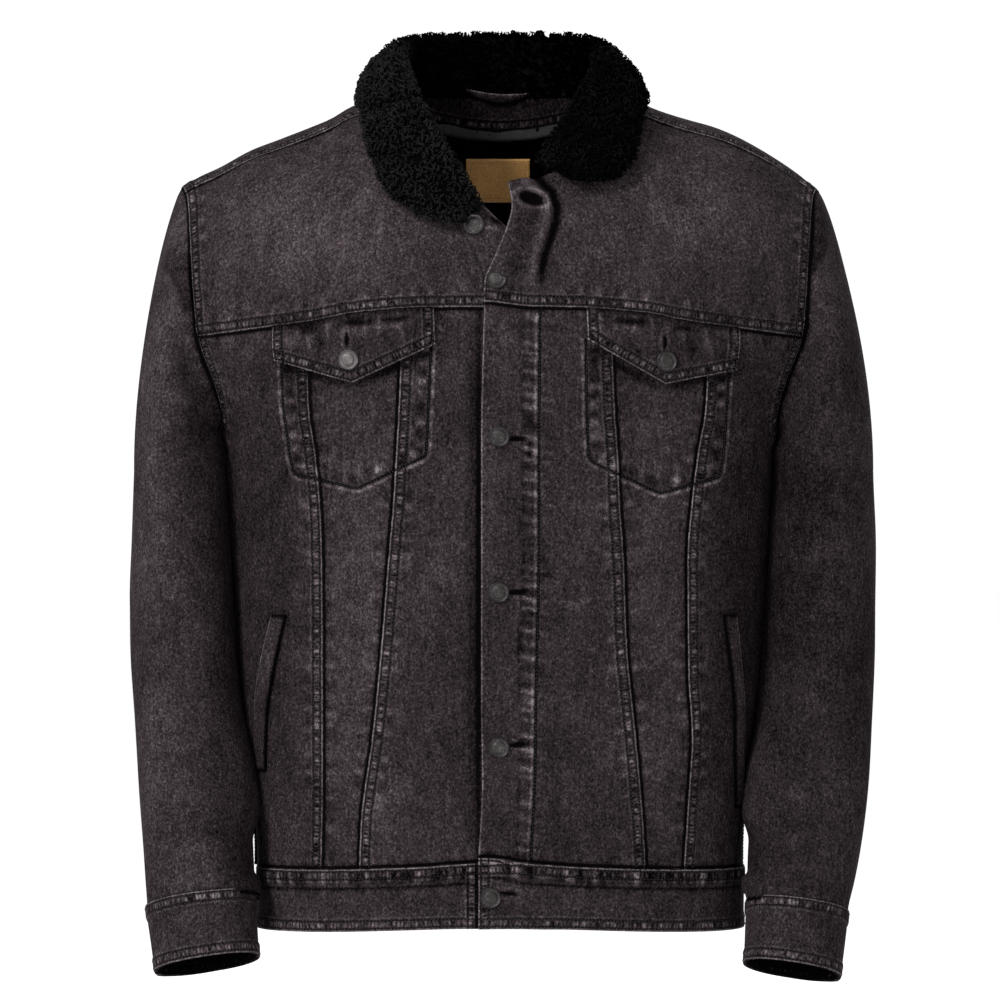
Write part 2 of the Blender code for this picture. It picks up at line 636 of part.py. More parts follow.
def ring_point(read, hand, turn, z, drop=0.0):
    """A point of a sleeve ring: turn 0 faces outward, 90 forward, 180 inward to the body."""
    outer, inner = (read[0], read[1]) if hand < 0 else (read[2], read[3])
    width, centre = (outer(z) - inner(z)) / 2, (outer(z) + inner(z)) / 2
    lean, roll = np.radians(read[6](z)), np.radians(read[7](z))
    angle = np.radians(turn)
    out = power(np.cos(angle), 2 / 2.3) * width
    fore = power(np.sin(angle), 2 / 2.3) * read[5](z) / 2
    x = centre + out
    y = read[4](z) - fore * np.cos(lean)
    height = z - drop + fore * np.sin(lean) - out * np.sin(roll)
    return np.stack(np.broadcast_arrays(hand * x, y, height), axis=-1)


sleeve_read = ring_reader(SLEEVE_RINGS)
cuff_read = ring_reader(CUFF_RINGS)
CAP_END, SLEEVE_END = -310 * MM, -679 * MM


def sleeve_drop(hand, z):
    return LEFT_CUFF_DROP * smooth(-0.45, SLEEVE_END, z) if hand > 0 else 0.0


def sleeve_point(hand, turn, run):
    """The sleeve's outer face: run 0 to 1 is the cap from the armhole, 1 to 2 goes down to the cuff."""
    turn, run = np.broadcast_arrays(np.asarray(turn, float), np.asarray(run, float))
    start = armhole_point(hand, turn)
    end = ring_point(sleeve_read, hand, turn, np.full(turn.shape, CAP_END))
    reach = np.linalg.norm(end - start, axis=-1, keepdims=True)
    fore = np.sin(np.radians(turn))
    leave = np.stack([np.full(turn.shape, hand * CAP_DIRECTION[0]), -CAP_DIRECTION[1] * fore,
                      np.full(turn.shape, -CAP_DIRECTION[2])], axis=-1)
    t = np.clip(run, 0, 1)[..., None]
    cap = ((1 + 2 * t) * (1 - t) ** 2 * start + t * (1 - t) ** 2 * 0.75 * reach * leave
           + t * t * (3 - 2 * t) * end + t * t * (t - 1) * reach * np.array([0, 0, -0.9]))
    z = CAP_END + (SLEEVE_END - CAP_END) * np.clip(run - 1, 0, 1)
    lower = ring_point(sleeve_read, hand, turn, z, sleeve_drop(hand, z))
    return np.where(run[..., None] < 1, cap, lower)


def armhole_point(hand, turn):
    place = armhole_place(True, hand, turn)
    return body_point(True, place[..., 0], place[..., 1])


def tube_normal(point, turn, run, hand):
    """Outward normal of a tube whose points come from point(turn, run)."""
    across = point(turn + 0.5, run) - point(turn - 0.5, run)
    down = point(turn, run + 2e-3) - point(turn, run - 2e-3)
    return unit(np.cross(across, down)) * hand


def wrapped(turn):
    return (turn + 180) % 360 - 180


def armhole_turned(hand, turns, normal):
    """The sleeve wall's own normal at the armhole, never leaning in under the body's panels."""
    place = armhole_place(True, hand, turns)
    body = body_normal(True, place[..., 0], place[..., 1])
    tangent = armhole_point(hand, wrapped(turns + 1)) - armhole_point(hand, wrapped(turns - 1))
    to_panel = unit(np.cross(body, tangent)) * -hand
    under = np.sum(normal * to_panel, axis=-1, keepdims=True) < 0
    return np.where(under, body, normal)


def folds(hand, points, normal):
    """How far the sleeve's folds move it out, for points seen from the front."""
    moved = np.zeros(points.shape[:-1])
    x, z = hand * points[..., 0], points[..., 2]
    for line, wide, high in (FOLDS_R if hand < 0 else FOLDS_L):
        line = np.array(line) * MM
        nearest = np.full(x.shape, 1e9)
        offset = np.zeros(x.shape)
        for a, b in zip(line[:-1], line[1:]):
            step = b - a
            t = np.clip(((x - a[0]) * step[0] + (z - a[1]) * step[1]) / (step @ step), 0, 1)
            dx, dz = x - a[0] - t * step[0], z - a[1] - t * step[1]
            distance = np.hypot(dx, dz)
            side = (dz * step[0] - dx * step[1]) / math.sqrt(step @ step)
            offset = np.where(distance < nearest, np.sign(side) * distance, offset)
            nearest = np.minimum(distance, nearest)
        moved += -high * MM * offset / (wide * MM) * np.exp(0.5 - 0.5 * (offset / (wide * MM)) ** 2)
    return moved * smooth(0.1, 0.6, -normal[..., 1])


def sleeve(hand):
    turns = np.concatenate([run[:-1] for run in arm_turns()])
    runs = np.concatenate([np.linspace(0, 1, 8), 1 + np.linspace(0, 1, 13)[1:]])
    turn, run = np.meshgrid(turns, runs)

    def point(t, r):
        return sleeve_point(hand, wrapped(t), np.clip(r, 0, 2))

    outer = point(turn, run)
    normal = tube_normal(point, turn, run, hand)
    outer[1:] += normal[1:] * folds(hand, outer[1:], normal[1:])[..., None]
    normal[0] = armhole_turned(hand, turns, normal[0])
    outer[0] += unit(outer[1] - outer[0]) * SEAM_GAP
    outer[-1] += [0, 0, SEAM_GAP]
    add_wall("sleeve" + suffix(hand), outer, outer - normal * DENIM, denim(), wrap=True)


def cuff(hand):
    """A strip round the wrist whose end laps over its start at the outer side."""
    lap = math.degrees(CUFF_LAP / (44 * MM))
    turns = np.linspace(LAP_TURN - lap, LAP_TURN + 360, 27)
    heights = np.linspace(CUFF_RINGS[0][0], CUFF_RINGS[1][0], 3) * MM
    turn, z = np.meshgrid(turns, heights)
    drop = LEFT_CUFF_DROP if hand > 0 else 0.0
    outer = ring_point(cuff_read, hand, turn, z, drop)
    step = ring_point(cuff_read, hand, turn + 0.5, z, drop) - ring_point(cuff_read, hand, turn - 0.5, z, drop)
    down = ring_point(cuff_read, hand, turn, z - 1e-3, drop) - ring_point(cuff_read, hand, turn, z + 1e-3, drop)
    normal = unit(np.cross(step, down)) * hand
    lift = (BAND + LAP) * smooth(LAP_TURN + 360 - 2.2 * lap, LAP_TURN + 360 - 1.15 * lap, turn)
    outer = outer + normal * (lift + 1.2 * MM)[..., None]
    add_wall("cuff" + suffix(hand), outer, outer - normal * BAND, denim())


# ---------------------------------------------------------------------------------------------------- neck
def neckline(count):
    """The neckline in space from the right front end of the collar to the left one, and each point's way in."""
    back = back_neck_places(31)
    parts = [body_point(False, back[:, 0], back[:, 1])]
    for hand, start in zip((-1, 1), COLLAR_START):
        front = neck_front(hand, 40)
        front = front[front[:, 0] > start]
        places = front_place(hand, front[:, 0], front[:, 1])
        points = body_point(True, places[:, 0], places[:, 1])[:-2]
        parts = [points] + parts if hand < 0 else parts + [points[::-1]]
    points = along(np.concatenate(parts), count)
    return points, unit(np.array([0.0, -0.01, 0.0]) - points * [1, 1, 0])


def stand_height(points):
    """How high the stand is at points of the neckline: full at the back, nothing at the fronts."""
    return np.maximum(STAND_TOP - points[:, 2], 3 * MM) * smooth(-0.045, 0.045, points[:, 1])


def body_tree():
    """The body's shoulders as a tree of faces, to keep the collar clear of them."""
    points, faces = [], []
    side, level = np.meshgrid(np.linspace(-1, 1, 81), np.linspace(-0.27, 0, 41))
    for front in (True, False):
        start = len(points)
        points += [tuple(p) for p in body_point(front, side, level).reshape(-1, 3)]
        for i in range(40):
            for j in range(80):
                a = start + i * 81 + j
                faces.append((a, a + 1, a + 82, a + 81) if front else (a, a + 81, a + 82, a + 1))
    return BVHTree.FromPolygons(points, faces)


def kept_clear(points, distances):
    """Points of the leaf moved out until each is at least its distance from the shoulders."""
    tree = body_tree()
    moved = points.copy()
    for index in np.ndindex(points.shape[:-1]):
        place, normal, _, _ = tree.find_nearest(tuple(points[index]))
        place, normal = np.array(place), np.array(normal)
        if normal @ (place - [0, 0, -0.25]) < 0:
            normal = -normal
        away = (points[index] - place) @ normal
        if away < distances[index]:
            moved[index] = points[index] + normal * (distances[index] - away)
    return moved


def collar_middle():
    """The collar's middle surface: at each station from the foot up the leg, round the fold and down the leaf."""
    right = np.array([np.concatenate(row) for row in COLLAR_R]) * MM
    left = np.array([np.concatenate(row) for row in COLLAR_L])[::-1][1:] * MM
    right[:, ::3] *= -1
    table = np.concatenate([right, left])
    run = np.concatenate([[0], np.cumsum(np.linalg.norm(np.diff(table[:, :3], axis=0), axis=1))])
    at = np.linspace(0, run[-1], COLLAR_STATIONS)
    line = np.stack([curve(list(zip(run, table[:, k])), 1, 1)(at) for k in range(9)], axis=-1)
    crest, middle, leaf = line[:, :3], line[:, 3:6], line[:, 6:]
    neck, inward = neckline(COLLAR_STATIONS)
    end = np.minimum(at, run[-1] - at)[:, None]
    foot = neck + inward * (-1.5 + 3.3 * smooth(0.01, 0.06, end)) * MM
    foot[:, 2] += stand_height(neck) + 1.2 * MM
    tangent = unit(np.gradient(crest, axis=0))
    down = (middle + foot) / 2 - crest
    down = unit(down - tangent * np.sum(down * tangent, axis=-1, keepdims=True))
    outward = unit(np.cross(down, tangent))
    outward *= np.sign(np.sum(outward * (leaf - foot), axis=-1, keepdims=True))
    radius = FOLD_RADIUS * (0.62 + 0.38 * smooth(0, 0.03, end))
    centre = crest + down * radius
    top = centre - outward * radius
    foot = top + down * 6 * MM + (foot - top - down * 6 * MM) * smooth(0.005, 0.05, end)
    path = [foot, (foot + top) / 2]
    for angle in (-90, -45, 0, 45, 90):
        swing = math.radians(angle)
        path.append(centre + radius * (outward * math.sin(swing) - down * math.cos(swing)))
    start = path[-1]
    control = 2 * middle - (start + leaf) / 2
    for t in (0.36, 0.7, 1.0):
        path.append((1 - t) ** 2 * start + 2 * t * (1 - t) * control + t * t * leaf)
    return np.stack(path, axis=1), end


def collar():
    middle, end = collar_middle()
    half = np.array(COLLAR_HALF)[None] * MM * (0.6 + 0.4 * smooth(0, 0.03, end))
    middle[:, 5:] = kept_clear(middle[:, 5:], half[:, 5:] + 1.2 * MM)
    tangent = np.gradient(middle, axis=0)
    over = np.gradient(middle, axis=1)
    normal = unit(np.cross(over, tangent))
    add_wall("collar", middle + normal * half[..., None], middle - normal * half[..., None], sherpa())


def strip(name, low, high, inward, thick, look, rows=3):
    """An upright strip between two lines of points, given its thickness toward the neck."""
    outer = np.stack([low + (high - low) * t for t in np.linspace(0, 1, rows)])
    return add_wall(name, outer, outer + inward[None] * thick, look)


def neck_pieces():
    """The denim stand on the back neckline, and the tape over the lining's edge below it."""
    points, inward = neckline(61)
    kept = points[:, 1] > -0.012
    points, inward = points[kept][::2], inward[kept][::2]
    up = np.array([0, 0, 1.0])
    base = points + inward * 0.6 * MM + up * 1.0 * MM
    high = base + up * (stand_height(points)[:, None] - 1.0 * MM)
    strip("collar_stand", base, high, inward, DENIM, denim())
    edge = back_neck_places(33)
    edge = edge[np.abs(body_point(False, edge[:, 0], edge[:, 1])[:, 0]) < 62 * MM]
    places = np.stack([edge - [0, drop * MM] for drop in (14, 9.5, 5)])
    body_piece("neck_tape", False, places, -lining_depth(places, 1.1 * MM), 1.0 * MM,
               material("tape", TAPE_COLOUR, 0.7), gap=0.0)


def lining_depth(places, gap=LAP):
    """How deep under the body surface a piece laid on the back lining starts."""
    mesh = bpy.data.objects["lining_back"].data
    tree = BVHTree.FromPolygons([tuple(v.co) for v in mesh.vertices], [tuple(f.vertices) for f in mesh.polygons])
    points, normals = (shape(False, places[..., 0], places[..., 1]) for shape in (body_point, body_normal))
    depth = np.zeros(places.shape[:-1])
    for index in np.ndindex(depth.shape):
        start = points[index] - normals[index] * 25 * MM
        hit = tree.ray_cast(tuple(start), tuple(normals[index]))
        depth[index] = 25 * MM - hit[3] + gap
    return depth


def hanger_loop():
    """A short denim strip sewn at both ends, bowed off the stand between them."""
    x = np.linspace(-31, 25.6, 9) * MM
    bow = np.sin(np.linspace(0, math.pi, 9))
    points, _ = neckline(121)
    points = points[points[:, 1] > 0.03]
    y = np.interp(x, points[:, 0], points[:, 1]) - (4.0 + 5.0 * bow) * MM
    low = np.stack([x, y, (18.0 - 3.0 * bow + 2 * np.linspace(1, -1, 9)) * MM], axis=-1)
    high = low + np.array([0, 0, 8.0 * MM])
    strip("hanger_loop", low, high, np.tile([0, -1.0, 0], (9, 1)), 1.2 * MM, denim(), rows=2)


def neck_label():
    """A plain label on the lining below the neck."""
    x = np.linspace(-30, 26.6, 7) * MM
    z = np.linspace(-68, -28, 4) * MM
    climb = ((z - CHEST_LINE) / (0.022 - CHEST_LINE)) ** (BACK_RISE / 2)
    level = CHEST_LINE * (1 - np.arcsin(climb) * 2 / math.pi)
    side = np.sign(x) * np.arcsin((np.abs(x) / half_width(level.mean())) ** (RING_POWER / 2)) * 2 / math.pi
    sides, levels = np.meshgrid(side, level)
    places = np.stack([sides, levels], axis=-1)
    body_piece("neck_label", False, places, -lining_depth(places), 1.2 * MM,
               material("label", LABEL_COLOUR, 0.6), gap=0.0)


# ---------------------------------------------------------------------------------------------------- buttons
def button(name, seat, normal):
    """A tack button: a domed disc with a raised rim, its axis along the normal."""
    r, h = BUTTON_RADIUS, BUTTON_HEIGHT
    profile = [(0.86 * r, 0), (r, 0.35 * h), (r, 0.75 * h), (0.86 * r, h), (0.70 * r, 0.86 * h)]
    sides = 12
    axis = unit(np.asarray(normal, float))
    helper = np.array([0, 0, 1.0]) if abs(axis[2]) < 0.9 else np.array([1.0, 0, 0])
    u = unit(np.cross(helper, axis))
    v = np.cross(axis, u)
    points, faces = [seat], []
    for radius, height in profile:
        for k in range(sides):
            angle = 2 * math.pi * k / sides
            points.append(seat + axis * height + (u * math.cos(angle) + v * math.sin(angle)) * radius)
    points.append(seat + axis * 0.9 * h)
    top = len(points) - 1
    for k in range(sides):
        n = (k + 1) % sides
        faces.append((0, 1 + n, 1 + k))
        for ring in range(len(profile) - 1):
            a = 1 + ring * sides
            faces.append((a + k, a + n, a + sides + n, a + sides + k))
        last = 1 + (len(profile) - 1) * sides
        faces.append((last + k, last + n, top))
    add_solid(name, np.array(points), faces, material("button", BUTTON_COLOUR, 0.45, 0.9))


def front_button(name, x, z, lift):
    place = front_place(1, np.array(x * MM), np.array(z * MM))
    normal = body_normal(True, place[0], place[1])
    point = body_point(True, place[0], place[1])
    button(name, point + normal * lift, normal)


def buttons():
    proud = OVERLAP_LIFT + 0.4 * MM
    for number, (x, z) in enumerate([(-3, -148), (-0.5, -281), (-1, -413), (-0.8, -545)], start=1):
        front_button(f"button_front_{number}", x, z, proud)
    front_button("button_waist", -7.7, -672, 1.0 * MM + 3.4 * MM + 0.4 * MM)
    front_button("button_neck", -22.3, -101, 0.4 * MM)
    front_button("button_flap_r", -128, -215.5, LAP + DENIM + 0.5 * MM)
    front_button("button_flap_l", 140.5, -217, LAP + DENIM + 0.5 * MM)
    for hand in (-1, 1):
        z = np.array(-707 * MM)
        drop = LEFT_CUFF_DROP if hand > 0 else 0.0
        turn = np.array(LAP_TURN - 16.0)
        at = ring_point(cuff_read, hand, turn, z, drop)
        step = ring_point(cuff_read, hand, turn + 1, z, drop) - ring_point(cuff_read, hand, turn - 1, z, drop)
        down = ring_point(cuff_read, hand, turn, z - 1e-3, drop) - ring_point(cuff_read, hand, turn, z + 1e-3, drop)
        normal = unit(np.cross(step, down)) * hand
        button("button_cuff" + suffix(hand), at + normal * (1.2 * MM + BAND + LAP + 0.4 * MM), normal)


# ---------------------------------------------------------------------------------------------------- all of it
def build():
    for old in list(bpy.data.objects):
        bpy.data.objects.remove(old)
    for hand in (-1, 1):
        fronts(hand)
        flap(hand)
        welt(hand)
        sleeve(hand)
        cuff(hand)
    back_yoke()
    back_panel()
    lining()
    waistband()
    collar()
    neck_pieces()
    hanger_loop()
    neck_label()
    buttons()


build()
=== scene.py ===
"""The sherpa lined denim jacket as it looks: cloth, pile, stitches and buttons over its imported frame.

Frame: metres, +Z up, the front faces -Y, +X is the wearer's left. z = 0 is the height of the high shoulder point.
A "place" on the body is (side, level): side runs from 0 at the centre to 1 at the side seam, negative on the
wearer's right; level is the height below the chest line, and above it the way up to the shoulder ridge, level 0.
A "line" is a seam on the cloth: its points, the way to its stitched side, its run and how hard it puckers.
"""

import math

import bpy
import numpy as np
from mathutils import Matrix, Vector
from mathutils.bvhtree import BVHTree

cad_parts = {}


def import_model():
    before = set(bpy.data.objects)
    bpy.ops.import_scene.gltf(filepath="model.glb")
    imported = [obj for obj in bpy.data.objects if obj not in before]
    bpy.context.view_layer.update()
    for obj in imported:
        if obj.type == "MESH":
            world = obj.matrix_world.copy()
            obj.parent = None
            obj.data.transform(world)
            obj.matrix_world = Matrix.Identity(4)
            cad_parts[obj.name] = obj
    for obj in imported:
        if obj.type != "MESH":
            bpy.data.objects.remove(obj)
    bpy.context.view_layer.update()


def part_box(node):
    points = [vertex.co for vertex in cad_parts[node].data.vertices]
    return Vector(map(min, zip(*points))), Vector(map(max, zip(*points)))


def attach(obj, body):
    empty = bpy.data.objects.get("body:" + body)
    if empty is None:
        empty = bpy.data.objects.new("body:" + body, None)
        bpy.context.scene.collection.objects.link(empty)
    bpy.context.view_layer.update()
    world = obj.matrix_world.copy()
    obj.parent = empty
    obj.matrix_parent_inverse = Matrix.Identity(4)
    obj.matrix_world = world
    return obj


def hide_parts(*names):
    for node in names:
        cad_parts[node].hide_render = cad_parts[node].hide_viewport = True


# --- sizes
MM = 0.001
DENIM = 2.0 * MM            # one denim wall
BAND = 3.0 * MM             # waistband and cuffs, folded double
SHERPA = 5.0 * MM           # body lining with its pile
SEAM_GAP = 0.3 * MM         # between pieces that are sewn edge to edge
LAP = 0.5 * MM              # between a piece and the cloth it lies on
LINING_DEPTH = 4.2 * MM     # from the denim's outer face in to the lining
CHEST_LINE = -200 * MM      # above it the body rounds over to the shoulder ridge
RING_POWER = 2.4            # how square a level ring of the body is
FRONT_RISE = 2.0            # how square the chest rounds over to the ridge
BACK_RISE = 2.6
UNDERARM = -285 * MM
SHOULDER_SEAM = -45 * MM    # level of the shoulder seam, on the front of the ridge
BACK_YOKE_SEAM = -185 * MM
HEM = -705 * MM
HEM_RISE = 6 * MM            # the hem sits this much higher at the centre front
BODY_RINGS = [              # height, half width, depth in front and behind (mm)
    (-710, 210.5, 117, 110),
    (-650, 210.5, 120, 110),
    (-600, 212, 121, 109),
    (-560, 213.5, 122, 108),
    (-520, 219, 122, 107),
    (-460, 224, 122, 107),
    (-390, 230, 124, 111),
    (-318, 236, 127, 117),
    (-285, 240.5, 128, 120),
    (-260, 249, 128, 122),
    (-230, 264, 128, 124),
    (-200, 281, 128, 125),
    (-165, 290, 127, 125),
    (-120, 295, 127, 125),
    (-60, 298, 126, 124),
    (0, 300, 126, 124),
]
SHOULDER_RIDGE = [          # x, height (mm)
    (-310, -86), (-277, -64), (-261, -54), (-244, -46), (-217, -31), (-191, -21), (-165, -11), (-146, -3), (-131, 6),
    (-118, 11), (-95, 16), (-60, 21), (0, 22), (60, 21), (95, 17), (118, 12), (142, 3), (165, -5), (187, -12),
    (213, -23), (239, -37), (261, -52), (277, -66), (310, -88),
]
ARMHOLE = [                 # turn (degrees), side, level (mm)
    (0, 0.726, 0), (30, 0.700, -55), (60, 0.692, -110), (90, 0.700, -165), (120, 0.735, -215),
    (150, 0.820, -262), (170, 0.940, -283), (180, 1.0, -285),
]
FRONT_YOKE_TURN = 107       # where the yoke seams meet the armhole
SHOULDER_TURN = 24.5
BACK_YOKE_TURN = -101
# Seams and edges of the front. Cross seams: distance from the centre, height (mm).
YOKE_SEAM = [(0, -171.5), (50, -171.5), (75, -172), (112, -175), (130, -177), (155, -182), (200, -188), (262, -195)]
WAIST_SEAM = [(0, -642), (30, -643.5), (60, -646), (100, -648), (150, -650), (215, -652)]
LAP_RISE = 4.5 * MM         # the left front's seams sit this much higher at its front edge
BACK_WAIST = -652 * MM
# Front edges: height, x. V seams: height, distance from the centre on the right and on the left (mm).
RIGHT_EDGE = [(-640, -24), (-174, -24), (-130, -16), (-103, -6), (-93.6, 4), (-84.3, 13.6)]
LEFT_EDGE = [
    (-645, -18.7), (-575, -15.3), (-500, -16), (-280, -16), (-174, -13.6), (-147.6, -12.8), (-137.4, -8.5),
    (-124.2, -2.6), (-103.8, 5.8), (-86.4, 9.9), (-67.2, 6.8),
]
INNER_V = [
    (-652, 120, 124), (-600, 117.5, 121), (-540, 109, 116), (-460, 101, 108), (-386, 95, 105), (-340, 91, 102),
    (-290, 88, 100), (-255, 86, 97.5), (-172, 83, 95),
]
OUTER_V = [
    (-652, 152, 157), (-580, 151, 161), (-540, 151, 163), (-480, 151, 160), (-386, 151.5, 160), (-340, 153, 163),
    (-295, 157, 168), (-260, 162, 174), (-180, 163, 176),
]
# Necklines, and outlines of the flaps and welts (mm).
RIGHT_NECK = [(13.6, -84.3), (30, -82), (45, -73), (60, -58), (80, -31), (92, 2)]
LEFT_NECK = [(6.8, -66), (19, -63), (31, -63), (42, -57), (58, -47), (80, -28), (92, 2)]
BACK_NECK = [(0, -70.5), (30, -68), (60, -58.5), (80, -38), (91, -8), (94, 10), (92, 45)]
FLAP_R = [(55.5, -175), (193, -187.5), (191.5, -216), (125, -235.6), (54.5, -203)]
FLAP_L = [(73, -174), (203.5, -190.5), (200.5, -223.8), (139.6, -236.5), (74, -199)]
WELT_R = [(-568, 200, 208.5), (-540, 199.5, 210), (-514, 198, 210), (-473, 191, 204.5), (-433, 182, 195)]
WELT_L = [(-600, 201.5, 208.5), (-554, 200.5, 209.5), (-505, 199.5, 209), (-470, 195.5, 206), (-433, 190, 202)]
# Height, outer and inner x of the right sleeve and of the left one, y, depth (mm), lean and roll (degrees).
SLEEVE_RINGS = [
    (-310, 317, 243.5, 324, 243.5, 0, 172, 0, 0),
    (-370, 320, 238.0, 326, 238.0, 2, 166, 0, 0),
    (-422, 322.5, 234.5, 325, 235.0, 2, 158, 1, 0),
    (-474, 322, 231.5, 324, 232.5, -4, 147, 5, 0),
    (-526, 318, 226.5, 321, 228.5, -14, 135, 9, 1),
    (-579, 313, 217.0, 317, 219.5, -28, 121, 12, 3),
    (-631, 307, 214.0, 309, 214.5, -44, 106, 13, 5),
    (-679, 303.3, 210.8, 298.5, 212.8, -58, 93, 14, 7.5),
]
CAP_DIRECTION = (0.42, 0.18, 0.88)   # how cloth leaves the armhole: outward, fore or aft, downward
CUFF_RINGS = [                       # as above; the wearer's left cuff hangs LEFT_CUFF_DROP lower
    (-679.4, 303.0, 211.0, 298.2, 213.0, -58.4, 92, 14, 7.5),
    (-733, 294.8, 207.4, 290.8, 209.7, -73, 81, 14, 9),
]
LEFT_CUFF_DROP = 5 * MM
LAP_TURN = -28                       # where on the ring the cuff's end lies
CUFF_LAP = 24 * MM                   # how far a cuff's end laps over its start
# The collar from its front end to the back: crest, middle and edge of the leaf, each x, y, z (mm).
COLLAR_R = [
    ((18, -121, -86), (40, -127, -100), (90, -110, -79)),
    ((29, -115, -67), (64, -123, -82), (98, -107, -69)),
    ((42, -104, -47), (77, -114, -59), (105, -100, -53)),
    ((57, -86, -21), (91, -99, -36), (111, -88, -37)),
    ((70, -64, 5), (102, -76, -12), (116, -68, -18)),
    ((80, -38, 29), (110, -46, 14), (120, -42, 0)),
    ((87, -10, 46), (113, -14, 32), (122, -14, 13)),
    ((88, 16, 58), (110, 20, 41), (121, 20, 15)),
    ((80, 44, 66), (98, 60, 44), (112, 64, 12)),
    ((60, 70, 71), (73, 92, 46), (80, 101, 6)),
    ((32, 86, 73), (37, 110, 48), (40, 120, 2)),
    ((0, 91, 74), (0, 116, 48), (0, 127, 0)),
]
COLLAR_L = [
    ((33, -104, -45), (64, -117, -63), (98, -102, -60)),
    ((46, -93, -28), (84, -108, -44), (111, -96, -48)),
    ((58, -77, -11), (94, -92, -25), (117, -82, -33)),
    ((68, -58, 8), (104, -70, -6), (121, -62, -16)),
    ((79, -34, 28), (112, -40, 16), (124, -36, 2)),
    ((87, -10, 46), (114, -12, 32), (126, -12, 14)),
    ((88, 16, 58), (111, 20, 41), (124, 20, 16)),
    ((80, 44, 66), (98, 60, 44), (113, 64, 13)),
    ((60, 70, 71), (73, 92, 46), (80, 101, 6)),
    ((32, 86, 73), (37, 110, 48), (40, 120, 2)),
    ((0, 91, 74), (0, 116, 48), (0, 127, 0)),
]
COLLAR_STATIONS = 37                 # samples round the collar
COLLAR_HALF = [2, 4.5, 6.2, 6.2, 6.2, 6.2, 6.5, 6.5, 6.2, 3]    # half thickness from foot to leaf edge (mm)
FOLD_RADIUS = 7.2 * MM
STAND_TOP = 19 * MM                  # height of its top edge at the back; it runs out where the collar meets the fronts
COLLAR_START = (17 * MM, 34 * MM)    # where it begins on the right and left neckline, out from the centre
FOLD_R = [(296, -134), (286, -142), (276, -163), (264, -187), (256, -208)]   # the fold at each sleeve's top: x, z (mm)
FOLD_L = [(288, -92), (283, -120), (266, -148), (259, -175)]
FOLD_HALF, FOLD_HEIGHT = 13, 4.5     # mm
OVERLAP_LIFT = 2.6 * MM              # the left front lies this much proud where it laps over the right one
BAND_LIFT = 3.5 * MM                 # and the waistband's left end this much
OVERLAP_ENDS = (34 * MM, 56 * MM)    # and comes down to the body between these distances from the centre
CAP_END, SLEEVE_END = -310 * MM, -679 * MM
CUFF_TUCK = 5 * MM                   # how far the sleeve runs into its cuff


def curve(rows, column=1, scale=MM):
    """A smooth function through a table: its first column in, another one out."""
    rows = sorted(rows)
    keys = np.array([row[0] for row in rows]) * scale
    values = np.array([row[column] for row in rows], dtype=float)
    steps = np.diff(values) / np.diff(keys)
    slopes = np.concatenate([steps[:1], (steps[:-1] + steps[1:]) / 2, steps[-1:]])
    turning = np.concatenate([[False], steps[:-1] * steps[1:] <= 0, [False]])
    slopes[turning] = 0.0

    def read(key):
        key = np.clip(key, keys[0], keys[-1])
        i = np.clip(np.searchsorted(keys, key) - 1, 0, len(keys) - 2)
        span = keys[i + 1] - keys[i]
        t = (key - keys[i]) / span
        return ((1 + 2 * t) * (1 - t) ** 2 * values[i] + t * (1 - t) ** 2 * span * slopes[i]
                + t * t * (3 - 2 * t) * values[i + 1] + t * t * (t - 1) * span * slopes[i + 1])

    return read


def metres(rows, column=1, scale=MM):
    """A table whose answers are in millimetres, read in metres."""
    read = curve(rows, column, scale)
    return lambda key: read(key) * MM


solid_half_width = metres(BODY_RINGS, 1)
front_depth = metres(BODY_RINGS, 2)
back_depth = metres(BODY_RINGS, 3)
ridge_height = metres(SHOULDER_RIDGE)
arm_side = curve(ARMHOLE, 1, 1)
arm_level = metres(ARMHOLE, 2, 1)
yoke_table = metres(YOKE_SEAM)
waist_table = metres(WAIST_SEAM)


def smooth(low, high, value):
    """0 below low, 1 above high, and a soft step between."""
    t = np.clip((value - low) / (high - low), 0, 1)
    return t * t * (3 - 2 * t)


def power(value, exponent):
    return np.sign(value) * np.abs(value) ** exponent


def unit(vectors):
    return vectors / np.maximum(np.linalg.norm(vectors, axis=-1, keepdims=True), 1e-12)


def run_along(points):
    """How far along a line each of its points is."""
    return np.concatenate([[0], np.cumsum(np.linalg.norm(np.diff(points, axis=0), axis=1))])


def joined(runs):
    """Runs that meet end to end, as one line."""
    return np.concatenate([runs[0]] + [run[1:] for run in runs[1:]])


def body_point(front, side, level):
    """The outer face of the body at a place; front says which sheet the place is counted from."""
    side, level = np.broadcast_arrays(np.asarray(side, float), np.asarray(level, float))
    side = (side + 2) % 4 - 2
    beyond = np.abs(side) > 1
    on_front = (np.full(side.shape, front) ^ beyond) ^ (level > 0)
    side = np.where(beyond, np.sign(side) * 2 - side, side)
    level = np.where(level > 0, -level, level)
    turn = side * math.pi / 2
    rise = np.clip((level - CHEST_LINE) / -CHEST_LINE, 0, 1) * math.pi / 2
    shape = np.where(on_front, 2 / FRONT_RISE, 2 / BACK_RISE)
    x = half_width(level) * power(np.sin(turn), 2 / RING_POWER)
    depth = np.where(on_front, -front_depth(level), back_depth(level))
    y = depth * np.clip(np.cos(turn), 0, 1) ** (2 / RING_POWER) * np.clip(np.cos(rise), 0, 1) ** shape
    over = CHEST_LINE + (ridge_height(x) - CHEST_LINE) * np.sin(rise) ** shape
    return np.stack([x, y, np.where(level > CHEST_LINE, over, level)], axis=-1)


